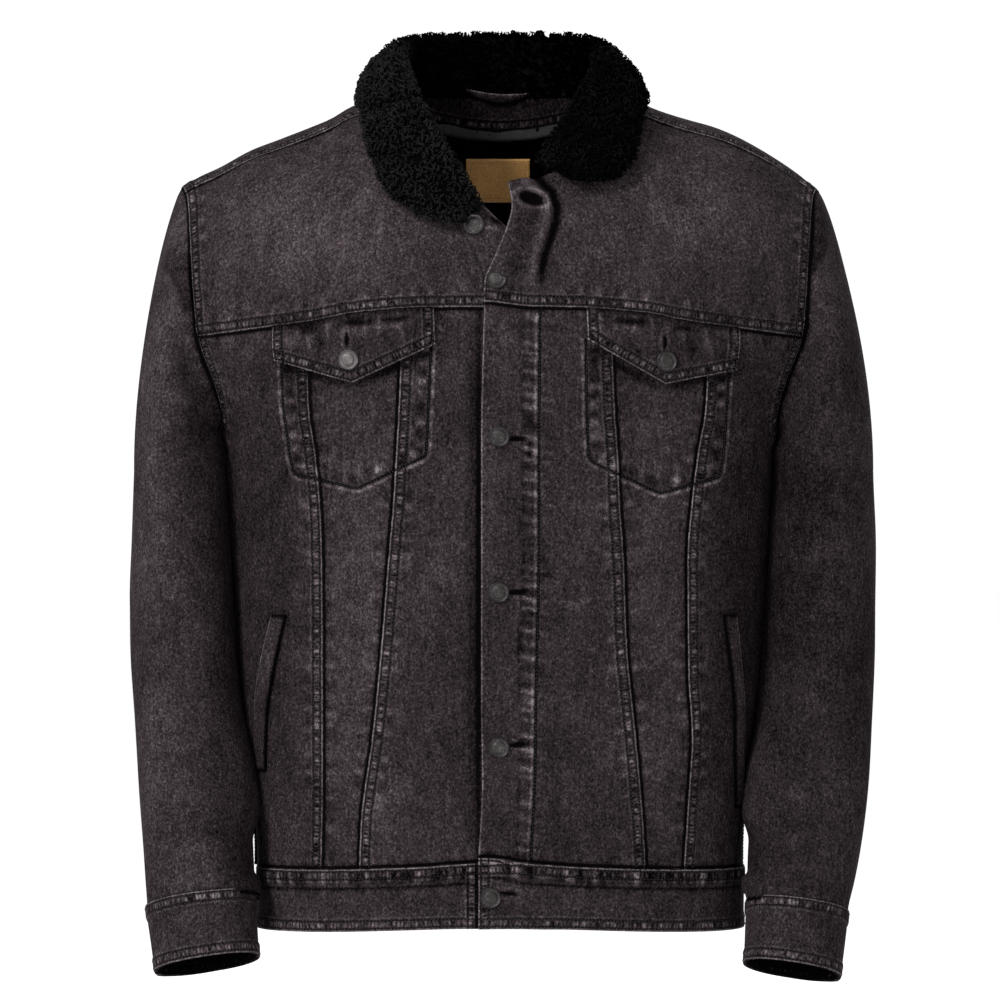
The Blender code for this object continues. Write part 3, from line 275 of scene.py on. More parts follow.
def body_normal(front, side, level):
    step = 2e-4
    across = body_point(front, side + step, level) - body_point(front, side - step, level)
    along = body_point(front, side, level + step) - body_point(front, side, level - step)
    normal = unit(np.cross(across, along))
    point = body_point(front, side, level)
    core = point * [0, 0, 1]
    core[..., 2] = np.minimum(point[..., 2] - 0.02, -0.25)
    return normal * np.sign(np.sum(normal * (point - core), axis=-1, keepdims=True))


def surface(front, places):
    """The body's outer face and its normals at places counted from one sheet."""
    side, level = places[..., 0], places[..., 1]
    return body_point(front, side, level), body_normal(front, side, level)


def front_place(hand, x, z):
    """The place on the front sheet that is x out from the centre on one hand's side, at height z."""
    x = hand * np.asarray(x, float)
    z = np.broadcast_to(np.asarray(z, float), x.shape)
    climb = np.clip((z - CHEST_LINE) / (ridge_height(x) - CHEST_LINE), 0, 1) ** (FRONT_RISE / 2)
    level = np.where(z > CHEST_LINE, CHEST_LINE * (1 - np.arcsin(climb) * 2 / math.pi), z)
    reach = np.clip(np.abs(x) / half_width(level), 0, 1) ** (RING_POWER / 2)
    return np.stack([np.sign(x) * np.arcsin(reach) * 2 / math.pi, level], axis=-1)


def armhole_place(front, hand, turn):
    """The armhole's place counted from one sheet; turn is positive on the front and negative on the back."""
    turn = np.asarray(turn, float)
    level = arm_level(np.abs(turn)) * np.where(turn >= 0, 1, -1) * (1 if front else -1)
    return np.stack([hand * arm_side(np.abs(turn)), level], axis=-1)


def overlap_lift(hand, places):
    """How proud a front lies: the wearer's left one laps over the right one at the centre."""
    if hand < 0:
        return np.zeros(places.shape[:-1])
    x = body_point(True, places[..., 0], places[..., 1])[..., 0]
    return OVERLAP_LIFT * (1 - smooth(*OVERLAP_ENDS, x))


def fill(bottom, top, left, right):
    """The places inside four edges, rows from bottom to top; left and right run upward."""
    s = np.linspace(0, 1, len(bottom))[None, :, None]
    t = np.linspace(0, 1, len(left))[:, None, None]
    ruled = (1 - t) * bottom[None] + t * top[None] + (1 - s) * left[:, None] + s * right[:, None]
    corners = ((1 - s) * (1 - t) * bottom[0] + s * (1 - t) * bottom[-1] + (1 - s) * t * top[0] + s * t * top[-1])
    return ruled - corners


def along(points, count):
    """A line through points, with a number of evenly spaced samples."""
    points = np.asarray(points, float)
    run = run_along(points)
    samples = np.linspace(0, run[-1], count)
    return np.stack([np.interp(samples, run, points[:, k]) for k in range(points.shape[1])], axis=-1)


def suffix(hand):
    return "_r" if hand < 0 else "_l"


def seam_lines(hand):
    """The front's lines by height, from the centre outward: front edge, inner V seam, outer V seam."""
    column = 1 if hand < 0 else 2
    return metres(RIGHT_EDGE if hand < 0 else LEFT_EDGE), metres(INNER_V, column), metres(OUTER_V, column)


def seam_height(table, hand, x):
    """The height of a cross seam of the front; the lapped left front carries it higher at the edge."""
    rise = LAP_RISE * (1 - smooth(-0.017, 0.030, x)) if hand > 0 else 0.0
    return table(np.abs(x)) + rise


def cross_seam(table, hand, counts):
    """Places along a cross seam in three runs: centre, middle and side front."""
    ends = []
    for line in seam_lines(hand):
        z = -0.2 if table is yoke_table else -0.65
        for _ in range(12):
            z = seam_height(table, hand, line(z))
        ends.append(line(z))
    if table is yoke_table:
        last = armhole_place(True, hand, FRONT_YOKE_TURN)
    else:
        last = np.array([float(hand), BACK_WAIST])
    runs = []
    for start, end, count in zip(ends[:2], ends[1:], counts):
        x = np.linspace(start, end, count)
        runs.append(front_place(hand, x, seam_height(table, hand, x)))
    sides = np.linspace(runs[-1][-1][0], last[0], counts[2])
    x = np.abs(body_point(True, sides, last[1])[:, 0])
    run = np.stack([sides, seam_height(table, hand, x)], axis=-1)
    run[:, 1] = front_place(hand, x, run[:, 1])[:, 1]
    run[0], run[-1] = runs[-1][-1], last
    return runs + [run]


def neck_front(hand, count=7):
    return along(np.array(RIGHT_NECK if hand < 0 else LEFT_NECK) * MM, count)


def level_line(start, end, level, count):
    """Places along one level of the body."""
    return np.stack([np.linspace(start, end, count), np.full(count, level)], axis=-1)


def side_seam(hand, count):
    """The side seam's places, from the waist seam up to the underarm."""
    return level_line(BACK_WAIST, UNDERARM, float(hand), count)[:, ::-1]


def back_seam(count):
    """The seam between back yoke and back panel."""
    ends = [armhole_place(False, hand, BACK_YOKE_TURN) for hand in (-1, 1)]
    seam = level_line(ends[0][0], ends[1][0], BACK_YOKE_SEAM, count)
    seam[0], seam[-1] = ends
    return seam


def back_neck_places(count):
    """The back neckline as places, from the wearer's right shoulder seam to the left one."""
    half = along(np.array(BACK_NECK) * MM, (count + 1) // 2)
    reach = np.clip(half[:, 0] / half_width(-np.abs(half[:, 1])), 0, 1) ** (RING_POWER / 2)
    left = np.stack([np.arcsin(reach) * 2 / math.pi, half[:, 1]], axis=-1)
    return np.concatenate([(left * [-1, 1])[:0:-1], left])


def ring_reader(rows):
    return [metres(rows, k) for k in range(1, 7)] + [curve(rows, k) for k in (7, 8)]


def ring_point(read, hand, turn, z, drop=0.0):
    """A point of a sleeve ring: turn 0 faces outward, 90 forward, 180 inward to the body."""
    outer, inner = (read[0], read[1]) if hand < 0 else (read[2], read[3])
    width, centre = (outer(z) - inner(z)) / 2, (outer(z) + inner(z)) / 2
    lean, roll = np.radians(read[6](z)), np.radians(read[7](z))
    angle = np.radians(turn)
    out = power(np.cos(angle), 2 / 2.3) * width
    fore = power(np.sin(angle), 2 / 2.3) * read[5](z) / 2
    x = centre + out
    y = read[4](z) - fore * np.cos(lean)
    height = z - drop + fore * np.sin(lean) - out * np.sin(roll)
    return np.stack(np.broadcast_arrays(hand * x, y, height), axis=-1)


sleeve_read = ring_reader(SLEEVE_RINGS)
cuff_read = ring_reader(CUFF_RINGS)


def sleeve_drop(hand, z):
    """How much lower the left sleeve hangs."""
    return LEFT_CUFF_DROP * smooth(-0.45, SLEEVE_END, z) if hand > 0 else 0.0


def sleeve_point(hand, turn, run):
    """The sleeve's outer face: run 0 to 1 is the cap from the armhole, 1 to 2 goes down to the cuff."""
    turn, run = np.broadcast_arrays(np.asarray(turn, float), np.asarray(run, float))
    start = armhole_point(hand, turn)
    end = ring_point(sleeve_read, hand, turn, np.full(turn.shape, CAP_END))
    reach = np.linalg.norm(end - start, axis=-1, keepdims=True)
    fore = np.sin(np.radians(turn))
    leave = np.stack([np.full(turn.shape, hand * CAP_DIRECTION[0]), -CAP_DIRECTION[1] * fore,
                      np.full(turn.shape, -CAP_DIRECTION[2])], axis=-1)
    t = np.clip(run, 0, 1)[..., None]
    cap = ((1 + 2 * t) * (1 - t) ** 2 * start + t * (1 - t) ** 2 * 0.75 * reach * leave
           + t * t * (3 - 2 * t) * end + t * t * (t - 1) * reach * np.array([0, 0, -0.9]))
    z = CAP_END + (SLEEVE_END - CAP_END) * np.clip(run - 1, 0, 1)
    lower = ring_point(sleeve_read, hand, turn, z, sleeve_drop(hand, z))
    return np.where(run[..., None] < 1, cap, lower)


def armhole_point(hand, turn):
    place = armhole_place(True, hand, turn)
    return body_point(True, place[..., 0], place[..., 1])


def tube_normal(point, turn, run, hand):
    """Outward normal of a tube whose points come from point(turn, run)."""
    across = point(turn + 0.5, run) - point(turn - 0.5, run)
    down = point(turn, run + 2e-3) - point(turn, run - 2e-3)
    return unit(np.cross(across, down)) * hand


def wrapped(turn):
    """A turn brought between -180 and 180."""
    return (turn + 180) % 360 - 180


def armhole_turned(hand, turns, normal):
    """The sleeve wall's own normal at the armhole, never leaning in under the body's panels."""
    place = armhole_place(True, hand, turns)
    body = body_normal(True, place[..., 0], place[..., 1])
    tangent = armhole_point(hand, wrapped(turns + 1)) - armhole_point(hand, wrapped(turns - 1))
    to_panel = unit(np.cross(body, tangent)) * -hand
    under = np.sum(normal * to_panel, axis=-1, keepdims=True) < 0
    return np.where(under, body, normal)


def neckline(count):
    """The neckline in space from the right front end of the collar to the left one, and each point's way in."""
    back = back_neck_places(31)
    parts = [body_point(False, back[:, 0], back[:, 1])]
    for hand, start in zip((-1, 1), COLLAR_START):
        front = neck_front(hand, 40)
        front = front[front[:, 0] > start]
        places = front_place(hand, front[:, 0], front[:, 1])
        points = body_point(True, places[:, 0], places[:, 1])[:-2]
        parts = [points] + parts if hand < 0 else parts + [points[::-1]]
    points = along(np.concatenate(parts), count)
    return points, unit(np.array([0.0, -0.01, 0.0]) - points * [1, 1, 0])


def stand_height(points):
    """How high the stand is at points of the neckline: full at the back, nothing at the fronts."""
    return np.maximum(STAND_TOP - points[:, 2], 3 * MM) * smooth(-0.045, 0.045, points[:, 1])


def body_tree():
    """The body's shoulders as a tree of faces, to keep the collar clear of them."""
    points, faces = [], []
    side, level = np.meshgrid(np.linspace(-1, 1, 81), np.linspace(-0.27, 0, 41))
    for front in (True, False):
        start = len(points)
        points += [tuple(p) for p in body_point(front, side, level).reshape(-1, 3)]
        for i in range(40):
            for j in range(80):
                a = start + i * 81 + j
                faces.append((a, a + 1, a + 82, a + 81) if front else (a, a + 81, a + 82, a + 1))
    return BVHTree.FromPolygons(points, faces)


def kept_clear(points, distances):
    """Points of the leaf moved out until each is at least its distance from the shoulders."""
    tree = body_tree()
    moved = points.copy()
    for index in np.ndindex(points.shape[:-1]):
        place, normal, _, _ = tree.find_nearest(tuple(points[index]))
        place, normal = np.array(place), np.array(normal)
        if normal @ (place - [0, 0, -0.25]) < 0:
            normal = -normal
        away = (points[index] - place) @ normal
        if away < distances[index]:
            moved[index] = points[index] + normal * (distances[index] - away)
    return moved


def collar_middle():
    """The collar's middle surface: at each station from the foot up the leg, round the fold and down the leaf."""
    right = np.array([np.concatenate(row) for row in COLLAR_R]) * MM
    left = np.array([np.concatenate(row) for row in COLLAR_L])[::-1][1:] * MM
    right[:, ::3] *= -1
    table = np.concatenate([right, left])
    run = run_along(table[:, :3])
    at = np.linspace(0, run[-1], COLLAR_STATIONS)
    line = np.stack([curve(list(zip(run, table[:, k])), 1, 1)(at) for k in range(9)], axis=-1)
    crest, middle, leaf = line[:, :3], line[:, 3:6], line[:, 6:]
    neck, inward = neckline(COLLAR_STATIONS)
    end = np.minimum(at, run[-1] - at)[:, None]
    foot = neck + inward * (-1.5 + 3.3 * smooth(0.01, 0.06, end)) * MM
    foot[:, 2] += stand_height(neck) + 1.2 * MM
    tangent = unit(np.gradient(crest, axis=0))
    down = (middle + foot) / 2 - crest
    down = unit(down - tangent * np.sum(down * tangent, axis=-1, keepdims=True))
    outward = unit(np.cross(down, tangent))
    outward *= np.sign(np.sum(outward * (leaf - foot), axis=-1, keepdims=True))
    radius = FOLD_RADIUS * (0.62 + 0.38 * smooth(0, 0.03, end))
    centre = crest + down * radius
    top = centre - outward * radius
    foot = top + down * 6 * MM + (foot - top - down * 6 * MM) * smooth(0.005, 0.05, end)
    path = [foot, (foot + top) / 2]
    for angle in (-90, -45, 0, 45, 90):
        swing = math.radians(angle)
        path.append(centre + radius * (outward * math.sin(swing) - down * math.cos(swing)))
    start = path[-1]
    control = 2 * middle - (start + leaf) / 2
    for t in (0.36, 0.7, 1.0):
        path.append((1 - t) ** 2 * start + 2 * t * (1 - t) * control + t * t * leaf)
    return np.stack(path, axis=1), end


# --- fineness
FRONT_COUNTS = (58, 31, 60)          # columns of the centre, middle and side front
SIDE_ROWS = 176                      # rows from the waist seam to the underarm
ARM_COUNTS = (54, 62, 78, 56)        # samples of the armhole's four runs
BACK_COLUMNS = 151
NECK_SHARE = 0.545                   # of the front yoke's top edge
SLEEVE_COLUMNS, SLEEVE_ROWS = 184, (86, 140)
INNER_STEP = 4                       # the hidden face of a cloth has every fourth row and column,
WELT_STEP, COLLAR_STEP, LINING_STEP, SMALL_STEP = 2, 2, 3, 2   # and that of these pieces more of them
REACH = 22 * MM                      # how far a seam shapes the cloth
LINE_STEP = 1.6 * MM                 # between the samples of a seam
SMALLEST_SHEET = 0.0102              # no sheet is said to be narrower (m)
FAR = 50.0                           # how far off a seam is said to be where none is near (mm)
STITCH = 3.1 * MM                    # from one stitch to the next
STITCH_SHARE = 0.72                  # of it that is thread
STITCH_THICK = 0.32 * MM
PUCKER_RUN = 2600                    # after this many mm a run's puckers repeat
ROWS_OF_STITCHES = (2.2, 8.8)        # out from a seam's edge (mm)

# Stitched outlines of the chest pocket bags: x, z (mm).
POCKET_R = [(-186.6, -212), (-184.3, -257.3), (-179.2, -295.7), (-175.8, -312.8), (-121.5, -325.2), (-62.8, -297.6),
            (-61.1, -263.7), (-58.5, -206)]
POCKET_L = [(72.9, -200), (73.8, -263.7), (75.5, -298.5), (78.1, -302.7), (136.5, -329.4), (188.0, -315.3),
            (191.4, -293.1), (196.5, -215)]
PLACKET_STITCH = [(35.0, -171), (33.9, -182.3), (33.1, -273.1), (33.1, -391.8), (30.6, -495.4), (29.7, -572.6),
                  (26.3, -641)]
PLACKET_TOP = [(30, -60), (45, -74), (48.5, -88.2), (47.6, -100.2), (42.5, -114.9), (38.2, -127.8), (35.3, -144.9),
               (34.5, -160)]
RIGHT_STITCH = [(-37.5, -100), (-25.8, -117.1), (-18.7, -132.6), (-13.6, -146), (-12, -170)]


def side_gap(z):
    """How far a sleeve's solid hangs off the body's side at a height. The cloth shown closes it, half from each."""
    inner = (sleeve_read[1](z) + sleeve_read[3](z)) / 2
    return (inner - solid_half_width(z)) * window(z, -0.622, -0.602, -0.300, -0.262)


def half_width(z):
    """Half the body's width as it is shown."""
    return solid_half_width(z) + 0.5 * side_gap(z)


def against_body(hand, points, turn):
    """A sleeve's inner side, drawn in until it rests against the body's side."""
    x, y, z = hand * points[..., 0], points[..., 1], points[..., 2]
    depth = np.where(y < 0, front_depth(z), back_depth(z))
    side = half_width(z) * np.clip(1 - (np.abs(y) / depth) ** RING_POWER, 0, 1) ** (1 / RING_POWER)
    closed = window(z, -0.630, -0.600, -0.296, -0.272) + 0.6 * window(z, -0.677, -0.671, -0.662, -0.655)
    inner = smooth(0.1, 0.75, -np.cos(np.radians(turn))) * closed
    drawn = np.clip(x - side + 0.9 * MM, -4 * MM, 8.0 * MM) * inner
    return np.stack([hand * (x - drawn), y, z], axis=-1)


def arm_turns():
    """The armhole's turns in four runs: front, front yoke, back yoke and back."""
    marks = (180, FRONT_YOKE_TURN, SHOULDER_TURN, BACK_YOKE_TURN, -180)
    return [np.linspace(a, b, n) for a, b, n in zip(marks[:-1], marks[1:], ARM_COUNTS)]


def back_yoke_places():
    """The back yoke as a grid of places, from its low seam up to the neck and the shoulder seams."""
    right_arm, left_arm = (armhole_place(False, hand, arm_turns()[2])[::-1] for hand in (-1, 1))
    neck = back_neck_places(71)
    top = np.concatenate([np.linspace(right_arm[-1], neck[0], 41)[:-1], neck,
                          np.linspace(neck[-1], left_arm[-1], 41)[1:]])
    return fill(back_seam(len(top)), top, right_arm, left_arm)


def back_panel_places():
    """The back panel as a grid of places, from the waist seam up to the yoke's."""
    edges = []
    for hand in (-1, 1):
        edges.append(joined([side_seam(hand, SIDE_ROWS), armhole_place(False, hand, arm_turns()[3][::-1])]))
    waist = level_line(-1, 1, BACK_WAIST, BACK_COLUMNS)
    return fill(waist, back_seam(BACK_COLUMNS), *edges)


def seam_line(hand, line, low, high):
    """A V seam or front edge as places, from its end on the waist seam to its end on the yoke seam."""
    rows = np.concatenate([[low[1]], np.linspace(BACK_WAIST, UNDERARM, SIDE_ROWS)[1:],
                           np.linspace(UNDERARM, high[1], ARM_COUNTS[0])[1:]])
    top = body_point(True, *high)[2]
    climb = (top - CHEST_LINE) / max(high[1] - CHEST_LINE, 1e-6)
    z = np.where(rows > CHEST_LINE, CHEST_LINE + (rows - CHEST_LINE) * climb, rows)
    places = front_place(hand, line(z), z)
    places[0], places[-1] = low, high
    return places


# --- seams
def trace(points, normal, toward, strength=1.0):
    """A line on the cloth, its side vectors turned toward a direction."""
    tangent = unit(np.gradient(points, axis=0))
    side = unit(np.cross(normal, tangent))
    side *= np.sign(np.mean(side @ np.asarray(toward, float)))
    run = run_along(points)
    return {"points": points, "side": side, "tangent": tangent, "normal": normal, "run": run,
            "strength": np.broadcast_to(np.asarray(strength, float), run.shape)}


def body_line(front, places, toward, strength=1.0):
    """A line on the body through places, sampled evenly."""
    points = body_point(front, places[:, 0], places[:, 1])
    count = max(int(np.linalg.norm(np.diff(points, axis=0), axis=1).sum() / LINE_STEP), 4)
    index = along_index(points, count)
    grid = np.arange(len(places))
    places = np.stack([np.interp(index, grid, places[:, k]) for k in (0, 1)], axis=-1)
    if np.ndim(strength):
        strength = np.interp(index, grid, strength)
    return trace(*surface(front, places), toward, strength)


def along_index(points, count):
    """Where among a line's points its evenly spaced samples lie."""
    run = run_along(points)
    return np.interp(np.linspace(0, run[-1], count), run, np.arange(len(points)))


def front_line(table, toward, strength=1.0, rounding=0.0):
    """A line drawn on the front through points x, z (mm)."""
    points = along(np.array(table, float) * MM, 400)
    if rounding:
        width = max(int(rounding * MM / (np.linalg.norm(points[1] - points[0]) + 1e-9)), 1)
        kernel = np.hanning(2 * width + 3)
        kernel /= kernel.sum()
        padded = np.pad(points, ((width + 1, width + 1), (0, 0)), mode="reflect", reflect_type="odd")
        points = np.stack([np.convolve(padded[:, k], kernel, mode="valid") for k in (0, 1)], axis=-1)
    places = front_place(1, points[:, 0], points[:, 1])
    return body_line(True, places, toward, strength)


def near(points, lines, far, one_side=False):
    """For each point: mm across the nearest line, mm along it, and its strength. A piece that lies all on one side
    of its lines is measured straight from them, however its surface turns."""
    flat = points.reshape(-1, 3)
    best = np.full(len(flat), REACH)
    across, run, strength = np.full(len(flat), far), np.zeros(len(flat)), np.zeros(len(flat))
    for number, line in enumerate(lines):
        count = len(line["points"])
        for start in range(0, count, 12):
            part = np.arange(start, min(start + 12, count))
            spots = line["points"][part]
            close = np.flatnonzero(np.all((flat > spots.min(0) - REACH) & (flat < spots.max(0) + REACH), axis=1))
            if not len(close):
                continue
            step = flat[close][:, None] - spots[None]
            distance = np.linalg.norm(step, axis=-1)
            pick = distance.argmin(1)
            rows = np.arange(len(close))
            distance, step, sample = distance[rows, pick], step[rows, pick], part[pick]
            beyond = np.sum(step * line["tangent"][sample], axis=-1)
            past = ((sample == 0) & (beyond < -1.5 * MM)) | ((sample == count - 1) & (beyond > 1.5 * MM))
            better = (distance < best[close]) & ~past
            chosen, sample = close[better], sample[better]
            best[chosen] = distance[better]
            aside = np.sqrt(np.maximum(distance[better] ** 2 - beyond[better] ** 2, 0.0)) * math.copysign(1.0, far)
            across[chosen] = (aside if one_side else np.sum(step[better] * line["side"][sample], axis=-1)) / MM
            run[chosen] = (line["run"][sample] + beyond[better]) / MM + 137.0 * number
            strength[chosen] = line["strength"][sample]
    shape = points.shape[:-1]
    return across.reshape(shape), run.reshape(shape), strength.reshape(shape)


def ripple(period, seed):
    """Uneven puckers along a run in mm: 0 between them and up to 1 on each."""
    rng = np.random.default_rng(seed)
    spots = np.cumsum(period * rng.uniform(0.55, 1.45, int(PUCKER_RUN / period)))
    grid = np.arange(0, PUCKER_RUN, 0.5)
    total = np.zeros(len(grid))
    for spot, high, wide in zip(spots, rng.uniform(0.25, 1.0, len(spots)), rng.uniform(0.20, 0.34, len(spots))):
        near_it = (grid > spot - 3 * period) & (grid < spot + 3 * period)
        total[near_it] = np.maximum(total[near_it], high * np.exp(-((grid[near_it] - spot) / (wide * period)) ** 2))
    return lambda run: np.interp(run % PUCKER_RUN, grid, total)


LADDER = ripple(6.6, 3)
GATHER = ripple(13.0, 5)
COARSE = ripple(21.0, 8)
PULLED = ripple(9.5, 12)


def window(value, low, full_low, full_high, high):
    """1 in a range, and a soft step down to 0 on each side of it."""
    return smooth(low, full_low, value) * (1 - smooth(full_high, high, value))


def seam_relief(across, run, strength):
    """How a stitched seam lifts the cloth (mm), and the tone it paints: wear with painted light on the pucker ridges
    and painted shade in their hollows.
    """
    ladder, gather = LADDER(run) - 0.35, GATHER(run + 40) - 0.3
    uneven = 0.55 + 0.9 * COARSE(run + 300)
    band = window(across, -0.8, 0.8, 10.0, 12.5)
    pucker = window(across, 1.0, 3.5, 7.5, 10.5) * ladder * uneven
    beside = (window(across, 9, 12, 14, 21) + 0.8 * window(across, -16, -8, -4, -1.5)) * gather
    lift = 0.9 * band + strength * (1.15 * pucker + 0.8 * beside)
    # tone: lighter on the pucker ridges and darker in their hollows; partly wear, partly painted light and shade
    tone = strength * (0.70 * pucker + 0.65 * beside) - 0.08 * band * strength
    return lift, tone


# --- creases
def from_polyline(x, z, line):
    """Distance from a polyline (mm) in the front view, which side of it, and how far along it from 0 to 1."""
    line = np.array(line, float)
    lengths = np.linalg.norm(np.diff(line, axis=0), axis=1)
    starts = np.concatenate([[0], np.cumsum(lengths)])
    nearest, offset, share = np.full(x.shape, 1e9), np.zeros(x.shape), np.zeros(x.shape)
    for a, b, start, length in zip(line[:-1], line[1:], starts, lengths):
        step = (b - a) / length
        t = np.clip((x - a[0]) * step[0] + (z - a[1]) * step[1], 0, length)
        dx, dz = x - a[0] - t * step[0], z - a[1] - t * step[1]
        distance = np.hypot(dx, dz)
        closer = distance < nearest
        offset = np.where(closer, np.sign(dz * step[0] - dx * step[1]) * distance, offset)
        share = np.where(closer, (start + t) / starts[-1], share)
        nearest = np.minimum(distance, nearest)
    return nearest, offset, share


def creased(points, normal, table):
    """Lift (mm) and tone of creases placed in the front view: line, width, height, and the tone of its ridge, painted
    light on a ridge and painted shade in a trough or under a lapped edge.
    """
    x, z = points[..., 0] / MM, points[..., 2] / MM
    facing = smooth(0.05, 0.5, -normal[..., 1])
    lift, tone = np.zeros(x.shape), np.zeros(x.shape)
    for line, wide, high, shade in table:
        distance, _, share = from_polyline(x, z, line)
        fade = np.sin(np.clip(share, 0.02, 0.98) * math.pi) ** 0.6
        profile = np.exp(-(distance / wide) ** 2) * fade * facing
        lift += high * profile
        tone += shade * profile
    return lift, tone


def patches(points, normal, table):
    """Lighter and darker patches of the front, partly fading and partly painted light and shade: x, z, half width, half
    height (mm) and how light.
    """
    x, z = points[..., 0] / MM, points[..., 2] / MM
    facing = smooth(0.0, 0.35, -normal[..., 1])
    tone = np.zeros(x.shape)
    for px, pz, wide, high, shade in table:
        tone += shade * np.exp(-((x - px) / wide) ** 2 - ((z - pz) / high) ** 2) * facing
    return tone


def swell(points, seed, high, wave):
    """A soft uneven swell of cloth (mm): a few long waves that run mostly up and down it."""
    rng = np.random.default_rng(seed)
    total = np.zeros(points.shape[:-1])
    for _ in range(7):
        turn = rng.uniform(-0.7, 0.7)
        length = wave * rng.uniform(0.7, 1.8)
        direction = np.array([math.cos(turn), 0.6 * rng.uniform(-1, 1), 0.55 * math.sin(turn)])
        total += np.sin(points @ direction * 2 * math.pi / (length * MM) + rng.uniform(0, 6.3))
    return high * total / 3


# --- meshes
def strided(count, step):
    """Every so many of a row's places, its last one always among them."""
    index = list(range(0, count, step))
    if count - 1 - index[-1] < step / 2 and len(index) > 1:
        index.pop()
    return index + [count - 1] if index[-1] != count - 1 else index


def shell(name, outer, inner, wrap=False, step=INNER_STEP):
    """A closed cloth: a fine outer face, a coarse inner one and the rim between. Returns the object and each
    vertex's place in the outer grid."""
    rows, columns = outer.shape[:2]
    ri = strided(rows, min(step, rows - 1))
    ci = list(range(0, columns, step)) if wrap else strided(columns, min(step, columns - 1))
    number = np.arange(rows * columns).reshape(rows, columns)
    inside = rows * columns + np.arange(len(ri) * len(ci)).reshape(len(ri), len(ci))
    points = np.concatenate([outer.reshape(-1, 3), inner[np.ix_(ri, ci)].reshape(-1, 3)])
    source = np.concatenate([number.reshape(-1), number[np.ix_(ri, ci)].reshape(-1)])

    def quads(grid, flip):
        right = np.roll(grid, -1, axis=1) if wrap else grid[:, 1:]
        left = grid if wrap else grid[:, :-1]
        corners = [left[:-1], right[:-1], right[1:], left[1:]]
        made = np.stack([c.reshape(-1) for c in corners], axis=-1)
        return made[:, ::-1] if flip else made

    faces = quads(number, False).tolist() + quads(inside, True).tolist()
    spans = list(zip(ci, ci[1:] + ([columns] if wrap else [])))
    for row, flip in ((0, True), (-1, False)):
        for k, (a, b) in enumerate(spans):
            if b <= a:
                continue
            edge = [int(number[row][j % columns]) for j in range(a, b + 1)]
            under = [int(inside[row][(k + 1) % len(ci)]), int(inside[row][k])]
            faces.append((edge + under)[::-1] if flip else edge + under)
    if not wrap:
        for column, flip in ((0, False), (-1, True)):
            for k, (a, b) in enumerate(zip(ri[:-1], ri[1:])):
                edge = [int(number[j][column]) for j in range(a, b + 1)]
                under = [int(inside[k + 1][column]), int(inside[k][column])]
                faces.append((edge + under)[::-1] if flip else edge + under)
    return object_of(name, points, faces), source


def object_of(name, points, faces):
    mesh = bpy.data.meshes.new(name)
    mesh.from_pydata(np.asarray(points).tolist(), [], [list(f) for f in faces])
    mesh.update()
    mesh.shade_smooth()
    made = bpy.data.objects.new(name, mesh)
    bpy.context.scene.collection.objects.link(made)
    return made


def attribute(made, name, values):
    """Stores a number on each vertex for the material to read."""
    made.data.attributes.new(name, "FLOAT", "POINT").data.foreach_set("value", np.asarray(values, np.float32))


def turned_out(made, outward):
    """Turns the faces so that the first vertex normals look outward."""
    normals = np.zeros(len(made.data.vertices) * 3, np.float32)
    made.data.vertices.foreach_get("normal", normals)
    normals = normals.reshape(-1, 3)[:len(outward)]
    if np.sum(normals * outward) < 0:
        made.data.flip_normals()


def grid_size(grid):
    """Longest row, longest column and area of a grid of points (m, m2)."""
    width = np.linalg.norm(np.diff(grid, axis=1), axis=-1).sum(axis=1).max()
    length = np.linalg.norm(np.diff(grid, axis=0), axis=-1).sum(axis=0).max()
    a, b, c, d = grid[:-1, :-1], grid[:-1, 1:], grid[1:, 1:], grid[1:, :-1]
    area = np.linalg.norm(np.cross(c - a, d - b), axis=-1).sum() / 2
    return float(width), float(length), float(area)


def sheet(made, grid, rests_on, held="hung", **more):
    """Works out a piece's grid laid flat: its longest row, longest column and area; nothing is kept of it."""
    width, length, area = grid_size(grid)
    width, length = max(width, SMALLEST_SHEET), max(length, SMALLEST_SHEET)


def dressed(made, looks, node=None):
    """A piece with its material and slot, shown in place of its CAD node if it has one of its own."""
    made.data.materials.append(looks)
    if node:
        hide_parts(node)
    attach(made, "root")
    return made


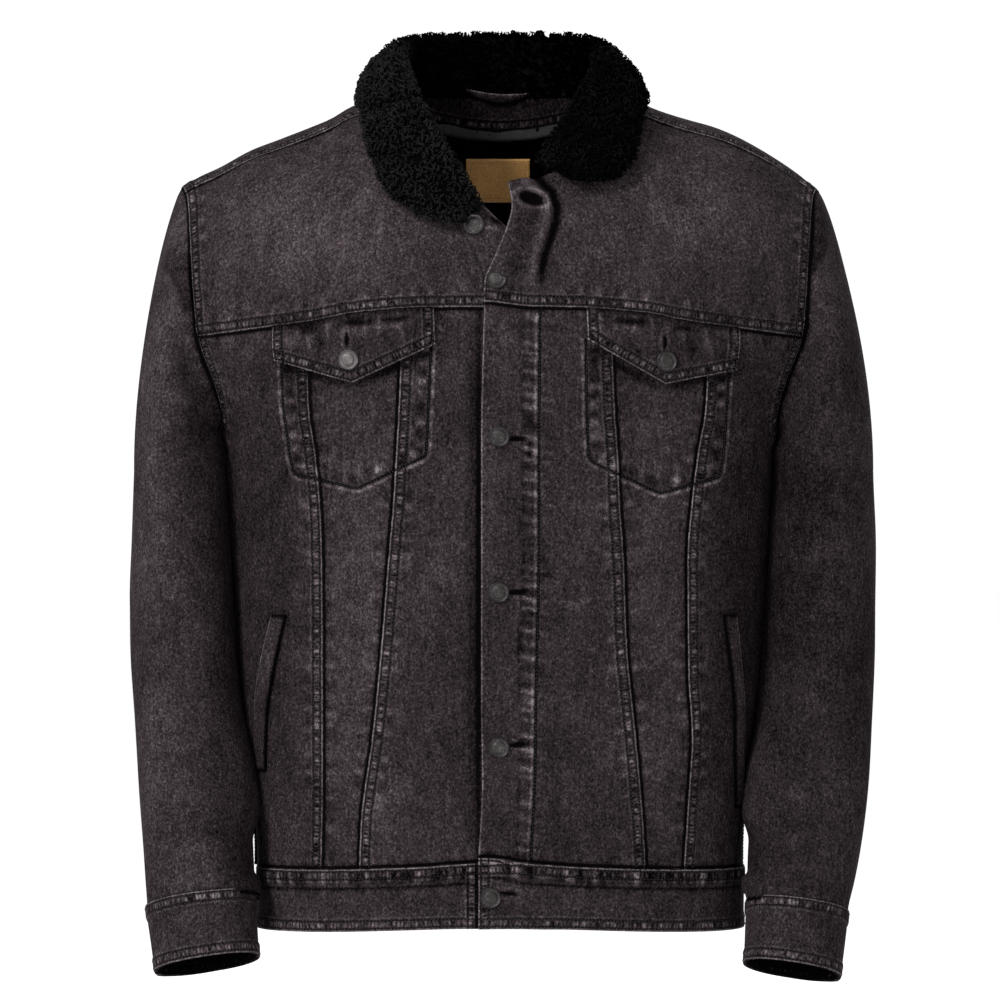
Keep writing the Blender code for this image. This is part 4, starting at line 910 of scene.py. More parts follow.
def cloth(node, base, normal, thick, lines, looks, rests_on, lift=0.0, wrap=False, signs=(FAR, FAR, FAR), extra=(),
          step=INNER_STEP, folded=()):
    """One cloth piece over its CAD node, shaped by its seams. lines are three sets: long seams, cross seams and
    single rows of stitches; signs say on which side of each set the piece lies. folded are its plain turned edges."""
    height = np.zeros(base.shape[:-1]) + np.asarray(lift) / MM
    shade = np.zeros(base.shape[:-1])
    fields = {"d_across": near(base, folded, FAR)[0]}
    height -= 0.7 * np.exp(-(fields["d_across"] / 1.8) ** 2)
    for letter, group, far in zip("abc", lines, signs):
        across, run, strength = near(base, group, far, letter != "c")
        fields[letter + "_across"], fields[letter + "_run"] = across, run
        if letter == "c":
            fields["c_strength"] = strength
            groove = np.exp(-(across / 1.6) ** 2) * strength
            gather = (GATHER(run + 90) - 0.3) * window(across, -8, -3, -2, -1) * strength
            bags = near(base, [line for line in group if line.get("margin", True)], far)
            margin = (COARSE(bags[1] * 1.25 + 90) - 0.35) * window(bags[0], 1.0, 4, 8, 13) * bags[2]
            height += 0.6 * gather + 1.5 * margin - 0.7 * groove
            # painted light on the gathered puckers and the puffed margin beside a row of stitches, painted shade
            # between the puckers
            shade += 0.7 * gather + 1.25 * margin
        else:
            # the seam's tone: wear with painted light and shade on its puckers
            raised, wear_and_shade = seam_relief(across, run, strength)
            height += raised
            shade += wear_and_shade
    for more_lift, more_tone in extra:
        height += more_lift
        shade += more_tone
    outer = base + normal * (height * MM)[..., None]
    made, source = shell(node + "_cloth", outer, outer - normal * thick, wrap, step)
    # tone holds the painted light and shade of the piece's puckers, creases, patches and shadows, with some wear
    for name, values in list(fields.items()) + [("tone", shade)]:
        attribute(made, name, values.reshape(-1)[source])
    # inside marks the hidden inner faces, which the material paints dark as shade
    attribute(made, "inside", (np.arange(len(source)) >= shade.size).astype(float))
    turned_out(made, normal.reshape(-1, 3))
    dressed(made, looks, node)
    sewn(made, lines, signs)
    sheet(made, np.concatenate([base, base[:, :1]], axis=1) if wrap else base, rests_on)


def sewn(made, lines, signs):
    """Lays the stitches of a piece's own seams on it: two rows in a band, one row on a single line."""
    tree = tree_of(made)
    for group, sign, rows in zip(lines, signs, (ROWS_OF_STITCHES, ROWS_OF_STITCHES, (0.0,))):
        for line in group if sign > 0 else ():
            for offset in rows:
                THREAD.row(tree, line["points"] + line["side"] * offset * MM, line["normal"])


# --- materials
class Value:
    """A number in a node tree; arithmetic on it adds nodes."""

    def __init__(self, graph, socket):
        self.graph, self.socket = graph, socket

    def __add__(self, other):
        return self.graph.math("ADD", self, other)

    def __sub__(self, other):
        return self.graph.math("SUBTRACT", self, other)

    def __rsub__(self, other):
        return self.graph.math("SUBTRACT", other, self)

    def __mul__(self, other):
        return self.graph.math("MULTIPLY", self, other)

    __radd__, __rmul__ = __add__, __mul__

    def clamp(self):
        made = self.graph.math("ADD", self, 0.0)
        made.socket.node.use_clamp = True
        return made

    def step(self, low, high):
        """0 at low, 1 at high and a soft step between; low may be above high."""
        node = self.graph.node("ShaderNodeMapRange", interpolation_type="SMOOTHSTEP")
        lower, upper, start, end = (low, high, 0, 1) if low < high else (high, low, 1, 0)
        for k, value in ((1, lower), (2, upper), (3, start), (4, end)):
            node.inputs[k].default_value = value
        self.graph.link(self, node.inputs[0])
        return Value(self.graph, node.outputs[0])

    def peak(self, centre, half):
        """1 at a centre and 0 a half width away from it."""
        return self.graph.math("ABSOLUTE", self - centre).step(half, 0.0)


class Graph:
    """A material's node tree, written as formulas."""

    def __init__(self, name, roughness=0.9, **sockets):
        self.made = bpy.data.materials.new(name)
        self.made.use_nodes = True
        self.tree = self.made.node_tree
        self.shader = self.tree.nodes["Principled BSDF"]
        self.shader.inputs["Roughness"].default_value = roughness
        for key, value in sockets.items():
            self.shader.inputs[key.replace("_", " ")].default_value = value

    def node(self, kind, **settings):
        made = self.tree.nodes.new(kind)
        for key, value in settings.items():
            setattr(made, key, value)
        return made

    def link(self, value, socket):
        if isinstance(value, Value):
            self.tree.links.new(value.socket, socket)
        else:
            socket.default_value = value

    def math(self, how, *values):
        made = self.node("ShaderNodeMath", operation=how)
        for value, socket in zip(values, made.inputs):
            self.link(value, socket)
        return Value(self, made.outputs[0])

    def attr(self, name):
        return Value(self, self.node("ShaderNodeAttribute", attribute_name=name).outputs["Fac"])

    def place(self, scale=(1, 1, 1)):
        """Object coordinates times a scale for each axis."""
        mapping = self.node("ShaderNodeMapping")
        mapping.inputs["Scale"].default_value = scale
        self.tree.links.new(self.node("ShaderNodeTexCoord").outputs["Object"], mapping.inputs["Vector"])
        return mapping.outputs[0]

    def vector(self, x, y=0.0, z=0.0):
        made = self.node("ShaderNodeCombineXYZ")
        for value, socket in zip((x, y, z), made.inputs):
            self.link(value, socket)
        return made.outputs[0]

    def noise(self, vector, scale, detail=2.0, roughness=0.5, centred=True):
        made = self.node("ShaderNodeTexNoise")
        self.tree.links.new(vector, made.inputs["Vector"])
        made.inputs["Scale"].default_value = scale
        made.inputs["Detail"].default_value = detail
        made.inputs["Roughness"].default_value = roughness
        value = Value(self, made.outputs[0])
        return value - 0.5 if centred else value

    def ramp(self, value, stops):
        made = self.node("ShaderNodeValToRGB")
        while len(made.color_ramp.elements) < len(stops):
            made.color_ramp.elements.new(0.5)
        for element, (at, colour) in zip(made.color_ramp.elements, stops):
            element.position = at
            element.color = (*colour, 1)
        self.link(value, made.inputs[0])
        return made.outputs[0]

    def finish(self, colour=None, height=None, distance=1.0 * MM, strength=1.0, roughness=None):
        if colour is not None:
            self.tree.links.new(colour, self.shader.inputs["Base Color"])
        if roughness is not None:
            self.link(roughness, self.shader.inputs["Roughness"])
        if height is not None:
            bump = self.node("ShaderNodeBump")
            bump.inputs["Distance"].default_value = distance
            bump.inputs["Strength"].default_value = strength
            self.link(height, bump.inputs["Height"])
            self.tree.links.new(bump.outputs[0], self.shader.inputs["Normal"])
        return self.made


DENIM_STOPS = [(0.0, (0.0012, 0.0009, 0.0010)), (0.25, (0.0070, 0.0052, 0.0058)), (0.5, (0.0205, 0.0158, 0.0172)),
               (0.75, (0.050, 0.0405, 0.0430)), (1.0, (0.130, 0.113, 0.118))]


def denim_material():
    """Washed black denim: twill grain, long streaks, light rubbed edges with painted highlights, painted shadows beside
    the seams and dark sunk stitches along them.
    """
    g = Graph("washed_denim", 0.9, Specular_IOR_Level=0.01)
    here = g.place((1.0, 1.0, 0.8))
    fine = g.noise(here, 800.0, 2.0, 0.6)
    flecks = g.noise(here, 470.0, 3.0, 0.65)
    streaks = g.noise(g.place((1.0, 1.0, 0.12)), 330.0, 2.0, 0.6)
    wash = g.noise(here, 95.0, 3.0, 0.6)
    clouds = g.noise(g.place((1.0, 1.0, 0.7)), 24.0, 3.0, 0.6)
    level = 0.430 + 0.85 * fine + 1.05 * flecks + 0.25 * streaks + 0.30 * wash + 0.36 * clouds
    bump = 0.25 * fine + 0.35 * flecks
    for letter in "ab":
        across, run = g.attr(letter + "_across"), g.attr(letter + "_run")
        wander = g.noise(g.vector(run * 0.09, 3.0 if letter == "a" else 9.0), 1.0, 2.0, 0.5)
        across = across + 0.9 * wander
        # edge: a painted highlight on each seam's folded edge, over some real rubbing; shadow: painted shade beside the
        # seam
        edge = across.peak(0.6, 1.35) * (0.85 + 1.1 * wander)
        shadow = across.peak(-1.3, 2.0) + 0.35 * across.step(-6.0, -0.5) * across.step(0.2, -0.4)
        # the ladder's rungs between the two rows: painted light on the puckers and painted shade between them
        rungs = g.noise(g.vector(run * 0.43, across * 0.07, 5.0), 1.0, 1.0, 0.4)
        between = across.peak(5.4, 4.0)
        dash = g.math("PINGPONG", run, 1.55).step(0.35, 0.75)
        rows = across.peak(ROWS_OF_STITCHES[0], 1.0) + across.peak(ROWS_OF_STITCHES[1], 1.0)
        rows = rows * (0.5 + 0.5 * dash)
        # painted highlights at the fold and at the band's far edge, painted shadow beside the seam
        level = (level + 0.50 * edge - 0.55 * shadow - 0.70 * rows + between * (rungs * 1.9 + 0.08)
                 + 0.14 * across.peak(11.0, 1.3))
        bump = bump + 0.9 * across.step(-0.6, 0.5) - 0.55 * rows + 0.9 * between * rungs
    across, run = g.attr("c_across"), g.attr("c_run")
    dash = g.math("PINGPONG", run, 1.55).step(0.35, 0.75)
    row = across.peak(0.0, 1.5) * (0.6 + 0.4 * dash) * g.attr("c_strength")
    # a painted highlight on the puffed cloth beside a single row of stitches
    level = level - 0.85 * row + 0.26 * across.peak(-3.2, 2.4) * g.attr("c_strength")
    bump = bump - 0.7 * row
    # a painted highlight along each plain folded edge
    level = level + 0.36 * g.attr("d_across").peak(0.5, 1.5)
    # tone adds the painted light and shade of puckers, creases, patches and shadows, with some wear; inner faces are
    # painted dark as shade
    level = level + 0.5 * g.attr("tone") - 0.6 * g.attr("inside")
    return g.finish(g.ramp(level.clamp(), DENIM_STOPS), bump, 0.9 * MM, 0.9)


def plain_material(name, dark, light, roughness, scale, height=0.3 * MM, **sockets):
    """A material of one colour with an uneven grain in its tone and relief."""
    g = Graph(name, roughness, **sockets)
    grain = g.noise(g.place(), scale, 4.0, 0.6, centred=False)
    cloud = g.noise(g.place(), scale / 9, 3.0, 0.6, centred=False)
    mixed = (0.6 * grain + 0.4 * cloud).step(0.3, 0.7)
    return g.finish(g.ramp(mixed, [(0.0, dark), (1.0, light)]), grain, height)


# --- fronts
# tone: painted light on a crease's ridge; negative, painted shade in a trough, below a flap or beside the lapped front
# edge
CREASES_R = [                         # line of x, z, half width, height (mm), tone
    ([(-146, -322), (-145, -305), (-140, -292)], 2.2, 0.8, 0.35), ([(-131, -323), (-131, -300)], 2.0, 0.8, 0.3),
    ([(-120, -324), (-118, -302)], 2.0, 0.9, 0.4), ([(-108, -320), (-103, -304)], 2.0, 0.7, 0.3),
    ([(-178, -226), (-186, -250), (-182, -262)], 3.0, 1.0, 0.2), ([(-200, -262), (-224, -300)], 8.0, 1.2, 0.1),
    ([(-17.7, -176), (-18.2, -400), (-18.4, -645)], 2.0, -0.7, -1.5), ([(-17, -176), (-22, -260),
    (-23, -330)], 4.0, -0.4, -0.25),
    ([(-53, -207), (-88, -222), (-125, -239)], 3.6, 0, -0.75), ([(-125, -239), (-160, -229),
    (-192, -219)], 3.6, 0, -0.65),
    ([(-23, -103), (-11, -103.5), (0.4, -105)], 1.2, 0.7, 0.6), ([(-9, -95), (-2, -98), (4, -101)], 2.6, -0.4, -1.1),
    ([(-62, -244), (-80, -232), (-96, -238)], 3.0, 0.8, 0.25), ([(-40, -560), (-80, -580),
    (-110, -620)], 9.0, 1.2, 0.1),
]
CREASES_L = [
    ([(120, -318), (124, -298)], 2.2, 0.8, 0.3), ([(134, -326), (135, -304)], 2.0, 0.9, 0.4),
    ([(149, -322), (152, -302)], 2.2, 0.8, 0.35), ([(166, -318), (170, -300)], 2.0, 0.7, 0.3),
    ([(188, -232), (196, -256)], 3.0, 1.0, 0.2), ([(208, -270), (226, -312)], 8.0, 1.2, 0.1),
    ([(72, -203), (105, -224), (140, -240)], 3.6, 0, -0.75), ([(140, -240), (170, -233), (202, -227)], 3.6, 0, -0.65),
    ([(22, -266), (28, -270), (34, -274)], 2.4, -0.6, -0.9), ([(25, -284), (25, -292), (25, -299)], 1.8, -0.5, -0.9),
    ([(32, -399), (40, -398.5), (47, -400)], 1.5, -0.6, -0.8),
    ([(16, -400), (23, -400), (31, -403)], 1.3, 0.7, 0.3), ([(22, -428), (28, -431), (34, -434)], 1.8, -0.6, -0.9),
    ([(17, -424), (24, -423), (31, -427)], 1.3, 0.7, 0.3), ([(15.7, -438), (15.2, -456),
    (15.7, -474)], 1.0, -0.4, -0.6),
    ([(44, -420), (66, -424), (80, -418)], 2.4, 0.9, 0.35), ([(40, -500), (70, -520), (100, -560)], 9.0, 1.2, 0.1),
]
# partly fading with painted light on the upper chest, painted shade at the sides and beside the lapped front edge
TONES = [                             # centre x, z, half width, half height (mm), how light
    (-150, -100, 120, 60, 0.26), (150, -95, 120, 60, 0.20), (-125, -430, 34, 190, 0.20), (140, -430, 34, 190, 0.16),
    (-205, -300, 34, 90, -0.16), (-200, -430, 26, 120, -0.20), (210, -330, 34, 150, -0.26), (205, -500, 26, 100, -0.16),
    (-50, -370, 30, 45, 0.10), (-45, -520, 36, 80, -0.10), (70, -350, 35, 60, 0.08), (10, -250, 22, 70, 0.08),
    (-23, -400, 5, 240, -0.30), (60, -590, 30, 60, -0.08), (-160, -600, 45, 40, -0.06),
]
BUTTON_HEIGHTS = (-281, -413, -545, -660)                  # where the placket is pulled: z (mm)
BUTTONHOLES_L = [(14.5, -283.2, 8.5, 1.6), (14.5, -413.0, 8.5, 1.7), (14.5, -543.0, 8.5, 1.7)]  # x, z, half sizes (mm)


def placket(base):
    """Puckers of the left front between its stitching and the buttons, pulled hardest at the buttonholes, with painted
    light on their ridges and painted shade in their hollows and beside the buttons.
    """
    x, z = base[..., 0] / MM, base[..., 2] / MM
    offset = x - np.interp(z, *np.array(PLACKET_STITCH)[::-1, ::-1].T)
    pull = 0.5 + sum(np.exp(-((z - at + 8) / 30) ** 2) for at in BUTTON_HEIGHTS)
    wave = PULLED(z + 0.22 * offset + 3.0 * np.sin(z / 17) + 900) - 0.34
    left, right = window(offset, -16, -12, -2.5, -0.6), 0.5 * window(offset, 0.6, 3, 6, 15)
    lift = pull * (1.7 * left + 1.3 * right) * wave
    shade_beside_buttons = np.exp(-((offset + 13.5) / 1.6) ** 2)
    # painted light on the pucker ridges, painted shade in their hollows and in a strip beside the buttons
    tone = (0.55 + 0.45 * pull) * (1.15 * left + 0.9 * right) * (wave + 0.10) - 0.30 * shade_beside_buttons
    # each buttonhole's slit painted dark as shade, its raised rim given a little painted light
    for px, pz, along_it, across_it in BUTTONHOLES_L:
        slit, rim = hole(x - px, z - pz, along_it, across_it)
        lift, tone = lift + 0.6 * rim - 1.2 * slit, tone + 0.12 * rim - 1.7 * slit
    return lift, tone


def hole(x, z, along_it, across_it):
    """A buttonhole's slit and the raised stitched rim round it; where they are used, the slit is painted dark as shade
    and the rim gets a little painted light.
    """
    far = np.hypot(x / along_it, z / across_it)
    return np.exp(-far ** 4), np.exp(-((np.hypot(x / (along_it + 1.5), z / (across_it + 2.2)) - 1) / 0.35) ** 2)


def front_extra(base, normal, hand):
    """What shapes a front besides its seams; the placket comes first."""
    lift, tone = creased(base, normal, CREASES_R if hand < 0 else CREASES_L)
    more = [placket(base)] if hand > 0 else []
    return more + [(lift, tone), (swell(base, 7 + hand, 0.9, 90), patches(base, normal, TONES))]


def armhole_line(front, hand, turns):
    """The armhole's seam, its stitched side on the body."""
    return body_line(front, armhole_place(front, hand, turns), (-hand, 0, 0))


def fronts(hand, looks):
    """The three lower panels of one front, then its yoke."""
    bottoms = cross_seam(waist_table, hand, FRONT_COUNTS)
    tops = cross_seam(yoke_table, hand, FRONT_COUNTS)
    edge, inner, outer = seam_lines(hand)
    edges = [seam_line(hand, line, bottoms[k][j], tops[k][j])
             for line, k, j in ((edge, 0, 0), (inner, 0, -1), (outer, 1, -1))]
    climb = armhole_place(True, hand, arm_turns()[0])
    edges.append(joined([side_seam(hand, SIDE_ROWS), climb]))
    yoke = body_line(True, joined(tops), (0, 0, 1))
    waist = body_line(True, joined(bottoms), (0, 0, -1), 0.7)
    v_inner = body_line(True, edges[1], (-hand, 0, 0))
    v_outer = body_line(True, edges[2], (hand, 0, 0))
    front = body_line(True, edges[0], (hand, 0, 0), 0.25)
    arm = armhole_line(True, hand, arm_turns()[0])
    rows = [front_line(POCKET_R if hand < 0 else POCKET_L, (0, 0, 1), 1.0, 5)]
    if hand > 0:
        rows.append(front_line(PLACKET_STITCH, (1, 0, 0), 1.0))
        rows[-1]["margin"] = False
    for k, (name, long_lines, sign) in enumerate((("front_centre", [v_inner], FAR),
                                                  ("front_mid", [v_inner, v_outer], -FAR),
                                                  ("front_side", [v_outer, arm], FAR))):
        places = fill(bottoms[k], tops[k], edges[k], edges[k + 1])
        base, normal = surface(True, places)
        cloth(name + suffix(hand), base, normal, DENIM, (long_lines, [yoke, waist], rows), looks,
              lift=overlap_lift(hand, places), signs=(sign, -FAR, FAR), extra=front_extra(base, normal, hand),
              rests_on=["front_yoke" + suffix(hand)], folded=[front] if k == 0 else [])
    front_yoke(hand, looks, joined(tops), yoke)


def front_yoke(hand, looks, bottom, yoke):
    edge = seam_lines(hand)[0]
    arm = armhole_place(True, hand, arm_turns()[1])
    count = int(NECK_SHARE * len(bottom))
    neck = neck_front(hand, count)
    rows = np.linspace(body_point(True, *bottom[0])[2], neck[0][1], len(arm))
    left = front_place(hand, edge(rows), rows)
    left[0] = bottom[0]
    places_neck = front_place(hand, neck[:, 0], neck[:, 1])
    places_neck[-1, 1] = SHOULDER_SEAM
    top = np.concatenate([places_neck, np.linspace(places_neck[-1], arm[-1], len(bottom) - count + 1)[1:]])
    left[-1] = top[0]
    places = fill(bottom, top, left, arm)
    base, normal = surface(True, places)
    shoulder = body_line(True, top[count - 1:], (0, 0, 1), 0.5)
    front = body_line(True, left, (hand, 0, 0), 0.2)
    rows = [dict(front_line(RIGHT_STITCH, (-1, 0, 0), 0.3), margin=False)] if hand < 0 else []
    extra = front_extra(base, normal, hand)[-2:]
    across, _, _ = near(base, [shoulder], FAR)
    # painted shade along the shoulder seam
    extra.append((0, -0.9 * np.exp(-(across / 1.8) ** 2)))
    if hand > 0:
        extra += [placket_roll(base), open_buttonhole(base)]
    cloth("front_yoke" + suffix(hand), base, normal, DENIM, ([armhole_line(True, hand, arm_turns()[1])],
          [yoke], rows), looks, lift=overlap_lift(hand, places), extra=extra, rests_on=["back_yoke"],
          folded=[front])


def open_buttonhole(base):
    """The neck's empty buttonhole, gaping between two thick lips: the lips and the thread painted light, the gap
    painted dark as shade.
    """
    x, z = base[..., 0] / MM - 27.2, base[..., 2] / MM + 80.6
    u, v = 0.963 * x - 0.27 * z, 0.27 * x + 0.963 * z
    round_it = np.hypot(u / 14.5, v / 7.2)
    hollow, lip = np.exp(-(round_it / 0.66) ** 4), np.exp(-((round_it - 1.05) / 0.27) ** 2)
    thread = np.exp(-((v + 1.2 * np.sin(u / 2.2)) / 1.1) ** 2) * np.exp(-(u / 7) ** 4)
    return 1.8 * lip - 3.0 * hollow + 1.5 * thread, 0.55 * lip - 2.2 * hollow + 1.1 * thread


def placket_roll(base):
    """The open top of the left front rolls forward between its free edge and a fold beside it, with a painted shadow
    along the fold, painted light on the roll and painted shade beyond it.
    """
    x, z = base[..., 0] / MM, base[..., 2] / MM
    distance, offset, _ = from_polyline(x, z, PLACKET_TOP)
    fade = smooth(-162, -135, z)
    inside = (offset * np.sign(np.mean(offset[x < 20])) > 0).astype(float)
    rolled, beyond = 1 - np.exp(-(distance / 5.0) ** 2), np.exp(-(distance / 4) ** 2)
    lift = fade * (inside * (3.4 * rolled) - (1 - inside) * 0.8 * beyond)
    tone = fade * (-1.5 * np.exp(-(distance / 3.0) ** 2) + 0.30 * inside * np.exp(-((distance - 9) / 4) ** 2)
                   - 0.30 * inside * np.exp(-((distance - 22) / 9) ** 2))
    return lift, tone


# --- back
def back(looks):
    """The back yoke, which comes forward to the shoulder seams, and the back panel."""
    yoke_places, panel_places = back_yoke_places(), back_panel_places()
    seam = body_line(False, back_seam(141), (0, 0, 1))
    waist = body_line(False, panel_places[0], (0, 0, -1), 0.7)
    arms = [armhole_line(False, hand, arm_turns()[2]) for hand in (-1, 1)]
    top = yoke_places[-1]
    shoulders = [body_line(False, top[:41], (0, 0, 1), 0.6), body_line(False, top[-41:], (0, 0, 1), 0.6)]
    for line in shoulders:
        line["side"] = line["side"] * np.sign(np.sum(line["side"][20] * (body_point(False, 0.4, -0.03) * [0, 1, 0])))
    base, normal = surface(False, yoke_places)
    cloth("back_yoke", base, normal, DENIM, (arms, [seam] + shoulders, []), looks,
          extra=[(swell(base, 21, 0.7, 100), patches(base, normal, TONES))], rests_on=["front_yoke_r", "front_yoke_l"])
    arms = [armhole_line(False, hand, arm_turns()[3]) for hand in (-1, 1)]
    sides = [body_line(False, panel_places[:SIDE_ROWS, k], (-hand, 0, 0), 0.5) for k, hand in ((0, -1), (-1, 1))]
    base, normal = surface(False, panel_places)
    cloth("back_panel", base, normal, DENIM, (arms + sides, [seam, waist], []), looks, signs=(FAR, -FAR, FAR),
          extra=[(swell(base, 22, 1.6, 120), 0.0)], rests_on=["back_yoke"])


# --- waistband
def waistband(looks):
    """The waistband, once round the hem, its left end lapped over its right one."""
    right, left = (joined(cross_seam(waist_table, hand, (40, 20, 62))) for hand in (-1, 1))
    top = joined([right, level_line(-1, -3, BACK_WAIST, 181), left[::-1] - [4, 0]])
    top[:, 1] -= SEAM_GAP
    sides = top[:, 0]
    x = body_point(True, sides, np.full(len(sides), HEM))[:, 0]
    on_front = np.abs((sides + 2) % 4 - 2) <= 1
    bottom = HEM + np.where(on_front, HEM_RISE * (1 - smooth(0, 0.21, np.abs(x))), 0)
    places = np.stack([np.stack([sides, bottom + (top[:, 1] - bottom) * t], axis=-1) for t in np.linspace(0, 1, 30)])
    lapped = sides < -3
    lift = np.where(lapped, BAND_LIFT * (1 - smooth(*OVERLAP_ENDS, x)), 0) + 1.0 * MM
    base, normal = surface(True, places)
    seam = trace(base[-1], normal[-1], (0, 0, -1), 0.0)
    hem = trace(base[0], normal[0], (0, 0, 1), 0.0)
    end = trace(base[:, -1], normal[:, -1], (1, 0, 0), 0.0)
    down = np.linalg.norm(base - base[-1:], axis=-1) / MM
    run = seam["run"][None] / MM + 0 * down
    bars = window(down, 1.5, 3.5, 11.0, 16.0) * (COARSE(run) + 0.8 * LADDER(run + 55) - 0.8)
    second = np.exp(-((down - 17) / 1.3) ** 2)
    low = np.exp(-((down - 20) / 4) ** 2) * (GATHER(run) - 0.3)
    # the waistband's buttonhole: its slit painted dark as shade, its rim given a little painted light
    slit, rim = hole(base[..., 0] / MM - 6.8, base[..., 2] / MM + 668.7, 8.0, 1.7)
    slit, rim = slit * on_front * (base[..., 1] < 0), rim * on_front * (base[..., 1] < 0)
    # painted light on the pucker bars, the gathers and the raised band under the seam, painted shade along the groove
    # of the second row
    extra = [(1.6 * bars + 0.6 * low - 0.6 * second, 1.2 * bars - 0.75 * second + 0.3 * low),
             (swell(base, 31, 0.5, 70), 0.1 * window(down, 1, 3, 12, 15)),
             (lapped * (0.5 * rim - 1.0 * slit), lapped * (0.35 * rim - 1.6 * slit))]
    cloth("waistband", base, normal, BAND, ([end], [seam, hem], []), looks, lift=lift,
          extra=extra, rests_on=["back_panel", "front_centre_r", "front_centre_l"])


# --- laid pieces
def flap(hand, looks):
    """A chest pocket's pointed flap, laid on the front."""
    inner_top, outer_top, outer_low, tip, inner_low = np.array(FLAP_R if hand < 0 else FLAP_L) * MM
    top_x = np.linspace(inner_top[0], outer_top[0], 95)
    top = front_place(hand, top_x, yoke_table(top_x) - 0.6 * MM)
    low = np.concatenate([np.linspace(inner_low, tip, 48)[:-1], np.linspace(tip, outer_low, 48)])
    bottom = front_place(hand, low[:, 0], low[:, 1])
    places = fill(bottom, top, np.linspace(bottom[0], top[0], 30), np.linspace(bottom[-1], top[-1], 30))
    base, normal = surface(True, places)
    below = trace(base[0], normal[0], (0, 0, 1), 0.5)
    ends = [trace(base[:, k], normal[:, k], (way * hand, 0, 0), 0.4) for k, way in ((0, 1), (-1, -1))]
    x = np.abs(base[..., 0]) / MM
    tip_x = tip[0] / MM
    spread = np.abs(x - tip_x)
    drop = (base[-1:, :, 2] - base[..., 2]) / MM
    gather = GATHER(x * 1.3 + 11 * hand) * window(drop, 1, 5, 12, 24)
    # painted light on the gathers, painted shade just under the yoke seam at the flap's top
    extra = [(1.2 * gather + 1.3 * np.exp(-(spread / 26) ** 2) * smooth(4, 26, drop), 0.45 * (gather - 0.2)
              - 0.5 * np.exp(-(drop / 3.0) ** 2)), (swell(base, 41 + hand, 0.5, 45), patches(base, normal, TONES))]
    px, pz = (-129.5, -199.0) if hand < 0 else (139.3, -201.0)
    # the flap's buttonhole: its slit painted dark as shade, its rim given a little painted light
    slit, rim = hole(base[..., 2] / MM - pz, base[..., 0] / MM - px, 7.0, 1.3)
    extra += [(0.5 * rim - 0.9 * slit, 0.3 * rim - 1.3 * slit), creased(base, normal, FLAP_CREASES)]
    cloth("flap" + suffix(hand), base, normal, DENIM, (ends, [below], []), looks, lift=LAP + DENIM,
          extra=extra, rests_on=["front_centre" + suffix(hand)])


# tone: painted light on a fold's ridge, painted shade in its trough
FLAP_CREASES = [                      # line of x, z, half width, height (mm), tone
    ([(-136, -185), (-122, -184), (-106, -184)], 3.4, -1.0, -1.1), ([(-102, -182), (-88, -182),
    (-74, -180)], 2.4, -0.7, -0.8),
    ([(-134, -190), (-112, -189), (-76, -187)], 2.6, 0.8, 0.4), ([(-176, -186), (-166, -190),
    (-150, -186)], 5.0, -0.5, -0.6),
    ([(-180, -196), (-176, -206)], 4.0, 0.9, 0.45), ([(-164, -192), (-160, -208)], 3.5, 0.9, 0.4),
    ([(-152, -194), (-150, -208)], 4.0, -0.6, -0.45), ([(-84, -186), (-80, -200)], 3.5, 0.7, 0.3),
    ([(92, -182), (112, -184), (126, -185)], 2.8, -0.9, -1.0), ([(146, -188), (166, -190)], 2.4, -0.7, -0.8),
    ([(98, -188), (120, -190)], 2.4, 0.7, 0.35),
    ([(92, -188), (90, -202)], 3.5, 0.8, 0.35), ([(176, -196), (180, -212)], 4.0, 0.9, 0.45),
    ([(164, -196), (162, -212)], 3.5, -0.6, -0.4),
]


def welt(hand, looks):
    """A hand pocket's slanted welt."""
    rows = WELT_R if hand < 0 else WELT_L
    inner, outer = metres(rows, 1), metres(rows, 2)
    z = np.linspace(rows[0][0], rows[-1][0], 100) * MM
    places = np.stack([front_place(hand, inner(z) + (outer(z) - inner(z)) * t, z) for t in np.linspace(0, 1, 9)],
                      axis=1)
    base, normal = surface(True, places)
    edge = trace(base[:, -1], normal[:, -1], (-hand, 0, 0), 0.5)
    inward = np.linalg.norm(base - base[:, :1], axis=-1) / MM
    ends = np.exp(-((z / MM - rows[-1][0]) / 2.2) ** 2) + np.exp(-((z / MM - rows[0][0]) / 2.2) ** 2)
    # painted shade at the welt's two ends and along its inner long edge
    dark = 0.05 - 1.2 * ends[:, None] - 1.3 * np.exp(-(inward / 1.6) ** 2)
    cloth("welt" + suffix(hand), base, normal, DENIM, ([], [], []), looks, folded=[edge], lift=0.7 * MM + DENIM,
          extra=[(0, dark)], rests_on=["front_side" + suffix(hand)], step=WELT_STEP)


